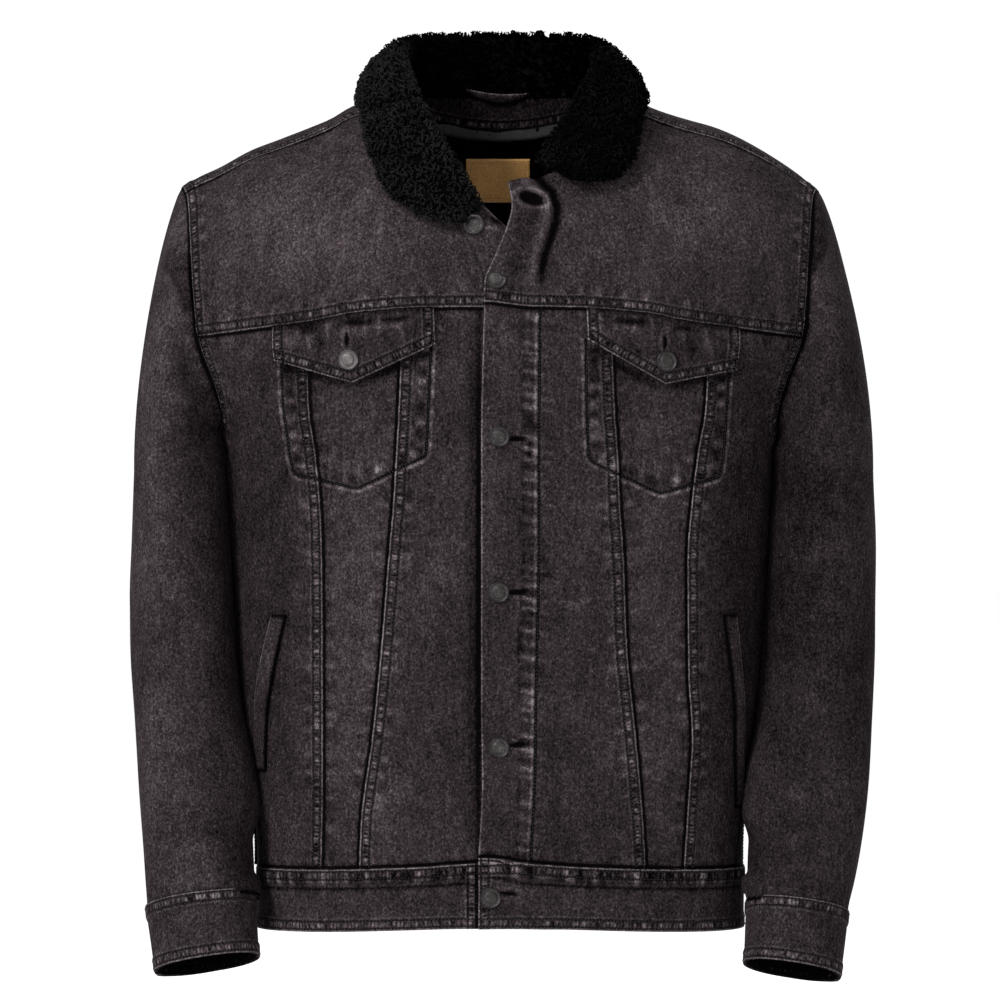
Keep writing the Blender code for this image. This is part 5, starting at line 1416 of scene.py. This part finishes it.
# --- sleeves
def sleeve(hand, looks):
    """A sleeve from its armhole to its cuff, in one closed tube."""
    turns = -180 + 360 * np.arange(SLEEVE_COLUMNS) / SLEEVE_COLUMNS
    turns = turns[::-1]
    runs = np.concatenate([np.linspace(0, 1, SLEEVE_ROWS[0]), 1 + np.linspace(0, 1, SLEEVE_ROWS[1])[1:]])
    turn, run = np.meshgrid(turns, runs)

    def point(t, r):
        return sleeve_point(hand, wrapped(t), np.clip(r, 0, 2))

    base = point(turn, run)
    normal = tube_normal(point, turn, run, hand)
    base = against_body(hand, base, turn)
    normal[0] = armhole_turned(hand, turns, normal[0])
    base[0] += unit(base[1] - base[0]) * SEAM_GAP
    base[-1] -= [0, 0, CUFF_TUCK]
    armhole = armhole_point(hand, np.append(turns, turns[0]))
    place = armhole_place(True, hand, np.append(turns, turns[0]))
    arm = trace(armhole, body_normal(True, place[:, 0], place[:, 1]), (-hand, 0, 0), 0.6)
    wrist = trace(base[-1], normal[-1], (0, 0, -1), 0.8)
    creases, tone = creased(base, normal, SLEEVE_CREASES_R if hand < 0 else SLEEVE_CREASES_L)
    fade = smooth(0, 0.05, run)
    ends = fade * (1 - smooth(1.93, 2.0, run))
    x, z = base[..., 0] / MM * hand, base[..., 2] / MM
    under = -from_polyline(x, z, FOLD_R if hand < 0 else FOLD_L)[1]
    facing = smooth(0.1, 0.6, -normal[..., 1])
    reach = under / FOLD_HALF
    lift = FOLD_HEIGHT * reach * np.exp(0.5 - 0.5 * reach ** 2) * facing * fade
    # painted light on the cap above the fold and painted shadow below it
    cap = facing * (0.12 * window(under, -60, -10, -4, 0) - 0.34 * window(under, -1, 4, 9, 36)) * smooth(-260, -215, z)
    extra = [(lift, cap), (creases * ends, tone),
             (swell(base, 51 + hand, 1.3, 80) * ends, patches(base, normal, SLEEVE_TONES))]
    cloth("sleeve" + suffix(hand), base, normal, DENIM, ([arm], [wrist], []), looks, signs=(-FAR, -FAR, FAR),
          wrap=True, extra=extra, rests_on=["front_yoke" + suffix(hand), "back_yoke"])


# tone: painted light on a fold's ridge
SLEEVE_CREASES_R = [                  # line of x, z, half width, height (mm), tone
    ([(-296, -236), (-268, -250), (-238, -268)], 7, 2.2, 0.12), ([(-318, -300), (-286, -306),
    (-250, -300)], 9, 1.8, 0.08),
    ([(-300, -395), (-272, -410), (-242, -402)], 8, 1.8, 0.10), ([(-314, -470), (-286, -462),
    (-256, -476)], 9, 2.0, 0.10),
    ([(-306, -540), (-270, -548), (-240, -536)], 7, 1.8, 0.10), ([(-300, -592), (-268, -586),
    (-236, -600)], 6, 2.0, 0.14),
    ([(-298, -632), (-262, -636), (-226, -626)], 6, 1.8, 0.12), ([(-280, -652), (-250, -660),
    (-224, -654)], 4, 1.2, 0.12),
    ([(-308, -180), (-316, -230), (-312, -280)], 9, 1.6, 0.10),
]
SLEEVE_CREASES_L = [
    ([(300, -200), (272, -226), (246, -262)], 8, 2.2, 0.10), ([(320, -290), (292, -300), (256, -292)], 9, 1.8, 0.08),
    ([(306, -372), (278, -380), (246, -398)], 8, 2.0, 0.10), ([(316, -452), (286, -462), (256, -448)], 9, 2.0, 0.10),
    ([(308, -520), (276, -514), (244, -530)], 7, 1.8, 0.10), ([(300, -580), (268, -592), (238, -584)], 7, 2.0, 0.14),
    ([(298, -628), (262, -620), (230, -632)], 6, 1.8, 0.12), ([(286, -654), (254, -648), (224, -658)], 4, 1.2, 0.12),
    ([(312, -170), (320, -222), (316, -270)], 9, 1.6, 0.08),
]
# painted light and shade: the tops and outer sides lighter, the inner sides by the body and the wearer's left sleeve
# darker
SLEEVE_TONES = [                      # centre x, z, half width, half height (mm), how light
    (-270, -120, 40, 60, 0.24), (-250, -300, 26, 110, -0.20), (-300, -320, 22, 160, 0.12), (-296, -560, 22, 90, 0.10),
    (-236, -520, 18, 150, -0.16), (262, -110, 30, 50, 0.16), (248, -300, 24, 110, -0.24), (240, -480, 20, 150, -0.20),
    (290, -420, 60, 260, -0.22), (310, -380, 20, 200, 0.06), (285, -600, 22, 60, 0.08),
    (-220, -640, 14, 40, -0.15), (225, -640, 14, 40, -0.15),
]


def cuff(hand, looks):
    """A cuff once round the wrist, its end lapped over its start."""
    lap = math.degrees(CUFF_LAP / (44 * MM))
    turns = np.linspace(LAP_TURN - lap, LAP_TURN + 360, 170)
    heights = np.linspace(CUFF_RINGS[0][0], CUFF_RINGS[1][0], 28) * MM
    turn, z = np.meshgrid(turns, heights)
    drop = LEFT_CUFF_DROP if hand > 0 else 0.0
    base = ring_point(cuff_read, hand, turn, z, drop)
    step = ring_point(cuff_read, hand, turn + 0.5, z, drop) - ring_point(cuff_read, hand, turn - 0.5, z, drop)
    down = ring_point(cuff_read, hand, turn, z - 1e-3, drop) - ring_point(cuff_read, hand, turn, z + 1e-3, drop)
    normal = unit(np.cross(step, down)) * hand
    lift = (BAND + LAP) * smooth(LAP_TURN + 360 - 2.2 * lap, LAP_TURN + 360 - 1.15 * lap, turn)
    seam = trace(base[0], normal[0], (0, 0, -1), 0.0)
    hem = trace(base[-1], normal[-1], (0, 0, 1), 0.0)
    end = trace(base[:, -1], normal[:, -1], base[5, -3] - base[5, -1], 0.0)
    below = np.linalg.norm(base - base[:1], axis=-1) / MM
    run = seam["run"][None] / MM + 0 * below
    bars = window(below, 1.5, 3, 7, 10) * (GATHER(run * 1.0 + 200 * (hand + 1)) - 0.3)
    # painted light on the pucker bars under the seam, painted shade between them
    extra = [(1.1 * bars, 0.6 * bars), (swell(base, 61 + hand, 0.4, 50), 0.0)]
    cloth("cuff" + suffix(hand), base, normal, BAND, ([end], [seam, hem], []), looks, lift=lift + 1.2 * MM,
          extra=extra, rests_on=["sleeve" + suffix(hand)])


# --- pile
CURL_RINGS = 5                        # rings of three corners in each curl
COLLAR_CURLS, EDGE_CURLS, LINING_CURLS = 5200, (900, 240, 240), 1500
COLLAR_PILE, EDGE_PILE, LINING_PILE = 4.8 * MM, 4.2 * MM, 3.4 * MM
COLLAR_ROWS, COLLAR_COLUMNS = 171, 58
LEAF = 5                              # of the collar's path, where its leaf starts


def lumps(points, cell, seed):
    """An uneven field of soft lumps, from about -1 to 1."""
    rng = np.random.default_rng(seed)
    total = np.zeros(points.shape[:-1])
    for _ in range(9):
        direction = unit(rng.normal(size=3))
        length = cell * rng.uniform(0.75, 1.7)
        total += np.sin(points @ direction * 2 * math.pi / length + rng.uniform(0, 6.3))
    return total / 4


def curls(name, grid, normal, count, high, looks, seed, long_share=0.2, chance=None):
    """Curled tufts of pile rooted on a grid of points; chance is each cell's share of them."""
    rng = np.random.default_rng(seed)
    a, b, c, d = grid[:-1, :-1], grid[:-1, 1:], grid[1:, 1:], grid[1:, :-1]
    area = np.linalg.norm(np.cross(c - a, d - b), axis=-1) / 2
    weight = (area if chance is None else area * chance[:-1, :-1]).reshape(-1)
    pick = rng.choice(len(weight), count, p=weight / weight.sum())
    i, j = np.unravel_index(pick, area.shape)
    u, v = rng.uniform(size=(2, count, 1))

    def blend(field):
        return ((1 - u) * (1 - v) * field[i, j] + u * (1 - v) * field[i, j + 1]
                + u * v * field[i + 1, j + 1] + (1 - u) * v * field[i + 1, j])

    root, up = blend(grid), unit(blend(normal))
    spin = rng.normal(size=(count, 3)) + np.array([0, 0, -0.5])
    out = unit(spin - up * np.sum(spin * up, axis=-1, keepdims=True))
    across = np.cross(up, out)
    tall = high * rng.uniform(0.65, 1.05, count)
    long = rng.uniform(size=count) < long_share
    sweep = np.where(long, rng.uniform(1.5, 2.2, count), rng.uniform(2.9, 4.3, count))
    radius = np.where(long, tall / (1 - np.cos(np.minimum(sweep, math.pi))), tall / 2)
    pitch = rng.uniform(-0.35, 0.35, count) * high
    rings = []
    for k in range(CURL_RINGS):
        t = k / (CURL_RINGS - 1)
        angle = -0.25 + t * (sweep + 0.25)
        centre = (root + out * (radius * np.sin(angle))[:, None] + up * (radius * (1 - np.cos(angle)))[:, None]
                  + across * (pitch * t)[:, None])
        along_it = out * np.cos(angle)[:, None] + up * np.sin(angle)[:, None]
        side = unit(np.cross(along_it, across))
        thick = high * np.where(long, 0.20, 0.27) * (1 - 0.75 * t ** 1.6) * rng.uniform(0.8, 1.2, count)
        for corner in range(3):
            turn = corner * 2 * math.pi / 3 + 0.5
            rings.append(centre + (across * math.cos(turn) + side * math.sin(turn)) * thick[:, None])
    points = np.stack(rings, axis=1).reshape(-1, 3)
    start = (np.arange(count) * CURL_RINGS * 3)[:, None, None]
    faces = []
    for k in range(CURL_RINGS - 1):
        for corner in range(3):
            n = (corner + 1) % 3
            faces.append([k * 3 + corner, k * 3 + n, k * 3 + 3 + n, k * 3 + 3 + corner])
    quads = (start + np.array(faces)[None]).reshape(-1, 4)
    made = object_of(name, points, quads.tolist())
    heights = np.tile(np.repeat(np.linspace(0, 1, CURL_RINGS), 3), count)
    # painted light: curls on the wearer's right leaf lighter, on the left leaf and at the back darker; stored with the
    # tip height
    lit = 0.35 - 0.8 * smooth(-0.06, 0.06, root[:, 0]) - 1.3 * smooth(0.0, 0.045, root[:, 1])
    attribute(made, "tip", heights + np.repeat(lit, 3 * CURL_RINGS))
    return dressed(made, looks)


def sherpa_material():
    # tip: how far up its curl a point is, plus the painted light of the curls
    g = Graph("sherpa_pile", 1.0, Specular_IOR_Level=0.0)
    grain = g.noise(g.place(), 420.0, 3.0, 0.6)
    clump = g.noise(g.place(), 60.0, 2.0, 0.5)
    level = 0.35 + 0.5 * grain + 0.5 * clump + 0.35 * g.attr("tip")
    return g.finish(g.ramp(level.clamp(), [(0.0, (0.0001, 0.0001, 0.0001)), (0.45, (0.0020, 0.0020, 0.0021)),
                                           (1.0, (0.0170, 0.0170, 0.0174))]), grain, 1.0 * MM, 0.8)


def finer(grid, rows, columns):
    """A grid of points smoothly resampled."""
    for axis, count in ((0, rows), (1, columns)):
        moved = np.moveaxis(grid, axis, 0)
        old, new = np.linspace(0, 1, len(moved)), np.linspace(0, 1, count)
        flat = moved.reshape(len(moved), -1)
        flat = np.stack([curve(list(zip(old, flat[:, k])), 1, 1)(new) for k in range(flat.shape[1])], axis=-1)
        grid = np.moveaxis(flat.reshape((count,) + moved.shape[1:]), 0, axis)
    return grid


def collar(looks):
    """The sherpa collar: a lumpy cloth round the CAD's fold, and the curls that stand on its pile side."""
    middle, end = collar_middle()
    half = np.array(COLLAR_HALF)[None] * MM * (0.6 + 0.4 * smooth(0, 0.03, end))
    middle[:, LEAF:] = kept_clear(middle[:, LEAF:], half[:, LEAF:] + 1.2 * MM)
    middle = finer(middle, COLLAR_ROWS, COLLAR_COLUMNS)
    half = finer(half[..., None], COLLAR_ROWS, COLLAR_COLUMNS)[..., 0]
    along_rows, along_columns = np.gradient(middle, axis=0), np.gradient(middle, axis=1)
    normal = unit(np.cross(along_columns, along_rows))
    sign = -1.0 if np.mean(np.sum(normal[:, 45:] * unit(middle[:, 45:] - [0, 0, -0.1]), axis=-1)) < 0 else 1.0
    normal = normal * sign
    face = middle + normal * (np.maximum(half - 4.2 * MM, 0.8 * MM) + 0.9 * MM * lumps(middle, 11 * MM, 5))[..., None]
    under = middle - normal * np.maximum(half - 1.5 * MM, 1.0 * MM)[..., None]
    made = pile_cloth("collar", face, under, normal, looks, COLLAR_STEP)
    tufts = [curls("collar_curls_" + part, face[cut], normal[cut], COLLAR_CURLS, COLLAR_PILE, looks, seed)
             for part, cut, seed in (("r", np.s_[:87], 11), ("l", np.s_[85:], 12))]
    for k, (rows, beyond) in enumerate(((np.s_[:, -5:], along_columns), (np.s_[:5, 8:], -along_rows),
                                        (np.s_[-5:, 8:], along_rows))):
        tufts.append(curls(f"collar_edge_{k}", face[rows], unit(normal[rows] * 0.35 + unit(beyond)[rows]),
                           EDGE_CURLS[k], EDGE_PILE, looks, 20 + k, 0.45))
    sheet(made, middle, ["back_yoke", "collar_stand"], "folded", with_pieces=tufts)


def pile_cloth(node, face, under, normal, looks, step):
    """The knit that the pile stands on."""
    made, source = shell(node + "_cloth", face, under, step=step)
    attribute(made, "tip", np.zeros(len(source)))
    turned_out(made, normal.reshape(-1, 3))
    return dressed(made, looks, node)


def lining(looks):
    """The sherpa lining, its pile toward the hollow: a back and two fronts, lumpy, with curls where it shows."""
    for hand in (-1, 1):
        seam, runs = side_seam(hand, 64), arm_turns()
        arm = armhole_place(True, hand, np.concatenate([runs[0][::2], runs[1][1::2]]))
        right = joined([seam, arm])
        neck = neck_front(hand, 44)
        neck = neck[neck[:, 0] > 44 * MM]
        top = front_place(hand, neck[:, 0], neck[:, 1])
        corner = back_neck_places(3)[2 if hand > 0 else 0] * [1, -1]
        top = np.concatenate([top[:-2], np.linspace(corner, arm[-1], 30)])
        heights = np.concatenate([seam[:, 1], np.linspace(UNDERARM, neck[0][1], len(arm))[1:]])
        left = front_place(hand, np.full(len(heights), neck[0][0]), heights)
        left[-1] = top[0]
        bottom = level_line(left[0][0], hand, BACK_WAIST, len(top))
        pile_wall("lining_front" + suffix(hand), True, fill(bottom, top, left, right), looks, 71 + hand)
    places = np.concatenate([back_panel_places()[:-1:2, ::2], back_yoke_places()[::2, ::2][:, :76]])
    pile_wall("lining_back", False, places, looks, 73)


def pile_wall(node, front, places, looks, seed):
    """One sherpa lining piece behind its places on the body."""
    base, normal = surface(front, places)
    back = base - normal * (LINING_DEPTH + 0.4 * MM)
    face = back - normal * (SHERPA - 2.6 * MM + 1.2 * MM * lumps(base, 12 * MM, seed))[..., None]
    made = pile_cloth(node, face, back, -normal, looks, LINING_STEP)
    pieces = []
    if node == "lining_back":
        near_neck = window(base[..., 0], -0.13, -0.09, 0.09, 0.13) * smooth(-0.17, -0.10, base[..., 2])
        pieces.append(curls("lining_back_curls", face, -normal, LINING_CURLS, LINING_PILE, looks, 33,
                            chance=near_neck + 1e-9))
    sheet(made, base, ["back_yoke"], with_pieces=pieces)


# --- neck pieces
UP = np.array([0, 0, 1.0])
STAND_DROP = 6.5 * MM                 # how far the stand hangs inside the yoke
TAPE_REACH = 62 * MM                  # how far from the centre the tape shows
TAPE_LOW = 11 * MM                    # below the neckline, where the tape leaves the lining
LABEL_STITCH, LABEL_SHARE, LABEL_THICK = 2.4 * MM, 1.3 * MM, 0.24 * MM
CLOTH_FIELDS = [letter + "_across" for letter in "abcd"] + [letter + "_run" for letter in "abc"] + [
    "c_strength", "tone", "inside"]


def lining_hit(places):
    """Points on the back lining's inner face straight in from places on the body, and the way out from them."""
    mesh = bpy.data.objects["lining_back"].data
    tree = BVHTree.FromPolygons([tuple(v.co) for v in mesh.vertices], [tuple(f.vertices) for f in mesh.polygons])
    points, normals = surface(False, places)
    found = np.zeros(points.shape)
    for index in np.ndindex(places.shape[:-1]):
        start = points[index] - normals[index] * 25 * MM
        hit = tree.ray_cast(tuple(start), tuple(normals[index]))
        found[index] = start + normals[index] * hit[3]
    return found, normals


def flat_piece(node, face, outward, thick, looks, slot, rests_on, **tones):
    """A small cloth or leather piece given its visible face."""
    made, source = shell(node + "_cloth", face, face - outward * thick, step=SMALL_STEP)
    turned_out(made, outward.reshape(-1, 3))
    for name in CLOTH_FIELDS:
        values = tones.get(name, FAR if "across" in name else 0.0) + np.zeros(face.shape[:-1])
        attribute(made, name, values.reshape(-1)[source])
    sheet(dressed(made, looks, node), face, rests_on)


def collar_stand(denim, tape):
    """The stand inside the back neck, and the tape that hangs from its low edge."""
    points, inward = neckline(121)
    kept = points[:, 1] > -0.012
    points, inward = points[kept], inward[kept]
    base = points + inward * 0.6 * MM - UP * STAND_DROP
    high = base + UP * (stand_height(points)[:, None] + STAND_DROP)
    face = np.stack([base + (high - base) * t for t in np.linspace(0, 1, 14)])
    face = face + inward[None] * DENIM
    run = run_along(points) / MM
    rise = np.linalg.norm(face - face[:1], axis=-1) / MM
    face += inward[None] * (0.5 * MM * (LADDER(run)[None] - 0.3) * window(rise, 1, 3, 7, 9))[..., None]
    # the stand is painted darker as shade inside the neck
    flat_piece("collar_stand", face, np.broadcast_to(inward, face.shape), DENIM, denim, "denim", ["back_yoke"],
               b_across=rise, b_run=run[None] + 0 * rise, tone=-0.55)
    neck_tape(tape, base + inward * (DENIM + 0.9 * MM) + UP * 0.5 * MM)


def neck_tape(tape, high):
    """The binding tape: a bulging strip from the lining up to a line under the stand."""
    edge = back_neck_places(121)
    edge = edge[np.abs(body_point(False, edge[:, 0], edge[:, 1])[:, 0]) < TAPE_REACH]
    low, normals = lining_hit((edge - [0, TAPE_LOW])[None])
    high = np.stack([np.interp(low[0, :, 0], high[:, 0], high[:, k]) for k in range(3)], axis=-1)
    share = np.linspace(0.3, 1, 9)[:, None, None]
    bulge = np.sin(np.linspace(0, math.pi, 9))[:, None, None] * 3.0 * MM
    strip = (low[0] - normals[0] * 7.5 * MM) * (1 - share) + high * share
    facing = np.broadcast_to(-normals[:1], strip.shape)
    flat_piece("neck_tape", strip + facing * bulge, facing, 1.0 * MM, tape, "tape", ["lining_back"])


def neck_label(leather):
    """The bare label on the lining; gives the line of its stitches and the way it faces."""
    x = np.linspace(-30, 26.6, 30) * MM
    z = np.linspace(-68, -28, 22) * MM
    climb = ((z - CHEST_LINE) / (0.022 - CHEST_LINE)) ** (BACK_RISE / 2)
    level = CHEST_LINE * (1 - np.arcsin(climb) * 2 / math.pi)
    side = np.sign(x) * np.arcsin((np.abs(x) / half_width(level.mean())) ** (RING_POWER / 2)) * 2 / math.pi
    hit, normals = lining_hit(np.stack(np.meshgrid(side, level), axis=-1))
    u, v = np.meshgrid(np.linspace(-1, 1, 30), np.linspace(-1, 1, 22))
    bend = 0.5 * MM * np.sin(2.2 * u + 0.7) * np.cos(1.3 * v)
    face = hit - normals * (1.7 * MM + np.abs(bend))[..., None]
    flat_piece("neck_label", face, -normals, 1.2 * MM, leather, "label", ["lining_back"])
    border = np.concatenate([face[2, 2:-2], face[3:-2, -3], face[-3, -4:1:-1], face[-4:1:-1, 2], face[2:3, 2]])
    return along(border, 90), -normals[10, 15]


def hanger_loop(denim):
    """A loop of denim that bows down in front of the stand."""
    x = np.linspace(-31, 25.6, 45) * MM
    bow = np.sin(np.linspace(0, math.pi, 45))
    points, _ = neckline(121)
    points = points[points[:, 1] > 0.03]
    y = np.interp(x, points[:, 0], points[:, 1]) - (4.0 + 5.0 * bow) * MM
    low = np.stack([x, y, (18.0 - 3.0 * bow + 2 * np.linspace(1, -1, 45)) * MM], axis=-1)
    tall = (3.0 + 5.0 * bow) * MM
    top = low + np.array([0, 0, 8.0 * MM])
    face = np.stack([top + np.outer((t - 1) * tall, [0, 0, 1]) for t in np.linspace(0, 1, 9)])
    ridge = np.sin(np.linspace(0, math.pi, 9))[:, None]
    run = np.broadcast_to((x / MM)[None] + 60, face.shape[:-1])
    face = face + np.array([0, -1.0, 0]) * ((0.8 * ridge + 0.4 * (LADDER(run) - 0.3)) * MM)[..., None]
    outward = np.broadcast_to(np.array([0, -1.0, 0]), face.shape)
    rise = np.broadcast_to(np.linspace(0, 8, 9)[:, None], face.shape[:-1])
    # painted shade darkest at the loop's foot, and a painted highlight along its top edge
    flat_piece("hanger_loop", face, outward, 1.2 * MM, denim, "denim", ["collar_stand"], d_across=8.0 - rise,
               tone=-0.8 + 0.09 * rise)


# --- buttons
BUTTON_PROFILE = [      # radius and height as shares of the button's own
    (0.86, 0.0), (0.97, 0.12), (1.0, 0.38), (0.99, 0.66), (0.965, 0.86), (0.92, 0.93), (0.885, 0.88), (0.85, 0.70),
    (0.80, 0.66), (0.70, 0.70), (0.63, 0.66), (0.60, 0.72), (0.585, 0.90), (0.54, 0.97), (0.40, 1.0), (0.20, 0.99),
]
BUTTON_SIDES = 40


def metal_material(name="aged_metal", light=1.0):
    g = Graph(name, 0.42, Metallic=1.0)
    scuff = g.noise(g.place(), 700.0, 3.0, 0.6, centred=False)
    cloud = g.noise(g.place(), 140.0, 2.0, 0.5, centred=False)
    colour = g.ramp((0.5 * scuff + 0.5 * cloud).step(0.32, 0.7),
                    [(at, tuple(light * part for part in shade)) for at, shade in
                     ((0.0, (0.026, 0.0235, 0.0235)), (0.7, (0.045, 0.041, 0.0415)), (1.0, (0.11, 0.103, 0.105)))])
    return g.finish(colour, scuff, 0.05 * MM, 0.4, roughness=0.38 + 0.25 * cloud)


def button_piece(node, looks):
    """A ringed tack button on its CAD node's own axis."""
    points = np.array([v.co for v in bpy.data.objects[node].data.vertices])
    centre = points.mean(axis=0)
    axis = np.linalg.svd(points - centre)[2][2]
    axis = axis * np.sign(axis @ body_axis(node))
    reach = (points - centre) @ axis
    seat = centre + axis * reach.min()
    tall = np.ptp(reach)
    radius = np.linalg.norm(points - centre - reach[:, None] * axis, axis=1).max()
    helper = np.array([0, 0, 1.0]) if abs(axis[2]) < 0.9 else np.array([1.0, 0, 0])
    u = unit(np.cross(helper, axis))
    v = np.cross(axis, u)
    turn = 2 * math.pi * np.arange(BUTTON_SIDES) / BUTTON_SIDES
    rings = [seat + axis * tall * h + (u * np.cos(turn)[:, None] + v * np.sin(turn)[:, None]) * radius * r
             for r, h in BUTTON_PROFILE]
    points = np.concatenate([[seat], *rings, [seat + axis * tall * 0.95]])
    faces = []
    for k in range(BUTTON_SIDES):
        n = (k + 1) % BUTTON_SIDES
        faces.append((0, 1 + n, 1 + k))
        for ring in range(len(BUTTON_PROFILE) - 1):
            a = 1 + ring * BUTTON_SIDES
            faces.append((a + k, a + n, a + BUTTON_SIDES + n, a + BUTTON_SIDES + k))
        last = 1 + (len(BUTTON_PROFILE) - 1) * BUTTON_SIDES
        faces.append((last + k, last + n, len(points) - 1))
    made = object_of(node + "_metal", points, faces)
    made.data.set_sharp_from_angle(angle=math.radians(50))
    dressed(made, looks, node)


def body_axis(node):
    """Roughly the way a button faces: outward from the nearest cloth's hollow."""
    low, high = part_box(node)
    centre = (np.array(low) + np.array(high)) / 2
    if "cuff" in node:
        ring = np.array([math.copysign(0.252, centre[0]), -0.066, centre[2]])
        return unit(centre - ring)
    return np.array([0, -1.0, 0])


# --- stitches
def sample(values, run, at):
    """A line's values at one place along it."""
    return np.array([np.interp(at, run, values[:, k]) for k in range(3)])


class Thread:
    """Collects stitches as small beads of thread."""

    def __init__(self):
        self.points, self.faces = [], []

    def bead(self, a, b, up, thick):
        """One stitch from a to b, standing a little proud in the middle."""
        forward = b - a
        side = np.cross(forward, up)
        length = np.linalg.norm(side)
        if length < 1e-9:
            return
        side = side / length
        start = len(self.points)
        self.points.append(a - forward * 0.15)
        for c, s in ((0.87, -0.5), (0, 1), (-0.87, -0.5)):
            self.points.append(a + forward * 0.5 + (side * c + up * (s + 0.45)) * thick * 1.1)
        self.points.append(b + forward * 0.15)
        for k in range(3):
            n = (k + 1) % 3
            self.faces += [(start + 1 + n, start + 1 + k, start), (start + 1 + k, start + 1 + n, start + 4)]

    def row(self, tree, points, normals):
        """Stitches along a line, laid on the nearest cloth."""
        run = run_along(points)
        for start in np.arange(0.3 * STITCH, run[-1] - STITCH, STITCH):
            ends = []
            for at in (start, start + STITCH_SHARE * STITCH):
                point = sample(points, run, at)
                normal = unit(sample(normals, run, at))
                hit = tree.ray_cast(tuple(point + normal * 8 * MM), tuple(-normal), 16 * MM)
                if hit[0] is None:
                    break
                ends.append(np.array(hit[0]))
            if len(ends) == 2:
                self.bead(*ends, normal, STITCH_THICK)

    def piece(self, name, looks):
        dressed(object_of(name, self.points, self.faces), looks)


THREAD = Thread()


def tree_of(made):
    mesh = made.data
    return BVHTree.FromPolygons([tuple(v.co) for v in mesh.vertices], [tuple(f.vertices) for f in mesh.polygons])


# --- stage
FLOOR_HALF, FLOOR_HEIGHT = 40, -1.05
CAMERA_PLACE, CAMERA_LENS, CAMERA_SENSOR = (0, -5.0, -0.335), 206.9, 36.0
ROOM_LIGHT = 1.05


def light(name, place, size, energy):
    """A soft round light that looks at the middle of the jacket."""
    data = bpy.data.lights.new(name, "AREA")
    data.shape, data.size, data.energy = "DISK", size, energy
    made = bpy.data.objects.new(name, data)
    made.location = place
    made.rotation_euler = (Vector((0, 0, -0.3)) - Vector(place)).to_track_quat("-Z", "Y").to_euler()
    made.visible_camera = False
    bpy.context.scene.collection.objects.link(made)


def studio():
    """A pale floor, a soft room, two lights and the camera."""
    corners = [(x * FLOOR_HALF, y * FLOOR_HALF, FLOOR_HEIGHT) for x, y in ((-1, -1), (1, -1), (1, 1), (-1, 1))]
    floor = object_of("floor", corners, [(0, 1, 2, 3)])
    g = Graph("pale_floor", 0.9)
    g.shader.inputs["Base Color"].default_value = (0.95, 0.95, 0.95, 1)
    floor.data.materials.append(g.made)
    world = bpy.data.worlds.new("soft_room")
    world.use_nodes = True
    world.node_tree.nodes["Background"].inputs[0].default_value = (1, 1, 1, 1)
    world.node_tree.nodes["Background"].inputs[1].default_value = ROOM_LIGHT
    bpy.context.scene.world = world
    light("key", (-2.6, -2.9, 1.9), 1.1, 210)
    light("rear", (1.0, 3.4, 1.4), 2.0, 50)
    camera = bpy.data.cameras.new("camera")
    camera.lens, camera.sensor_width = CAMERA_LENS, CAMERA_SENSOR
    made = bpy.data.objects.new("camera", camera)
    made.location = CAMERA_PLACE
    made.rotation_euler = (math.pi / 2, 0, 0)
    bpy.context.scene.collection.objects.link(made)
    bpy.context.scene.camera = made
    bpy.context.scene.view_settings.view_transform = "Standard"


# --- all of it
def build():
    """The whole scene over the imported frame."""
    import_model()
    denim, pile, metal = denim_material(), sherpa_material(), metal_material()
    # a lighter copy of the metal as painted light, for the neck button and the right flap's button
    painted_lit_metal = metal_material("metal_painted_lit", 2.5)
    tape = plain_material("woven_tape", (0.006,) * 3, (0.015,) * 3, 0.7, 900.0, Specular_IOR_Level=0.1)
    leather = plain_material("tan_leather", (0.42, 0.215, 0.062), (0.66, 0.36, 0.12), 0.5, 500.0, 0.15 * MM)
    for hand in (-1, 1):
        fronts(hand, denim)
        flap(hand, denim)
        welt(hand, denim)
        sleeve(hand, denim)
        cuff(hand, denim)
    back(denim)
    waistband(denim)
    collar_stand(denim, tape)
    hanger_loop(denim)
    border, facing = neck_label(leather)
    lining(pile)
    collar(pile)
    for node in ("button_neck", "button_waist", "button_flap_r", "button_flap_l", "button_cuff_r", "button_cuff_l",
                 *(f"button_front_{k}" for k in range(1, 5))):
        button_piece(node, painted_lit_metal if node in ("button_neck", "button_flap_r") else metal)
    run = run_along(border)
    for start in np.arange(0, run[-1] - LABEL_STITCH, LABEL_STITCH):
        THREAD.bead(*(sample(border, run, at) for at in (start, start + LABEL_SHARE)), facing, LABEL_THICK)
    THREAD.piece("stitches", plain_material("thread", (0.004, 0.0035, 0.004), (0.02, 0.018, 0.02), 0.8, 900.0))
    studio()


build()
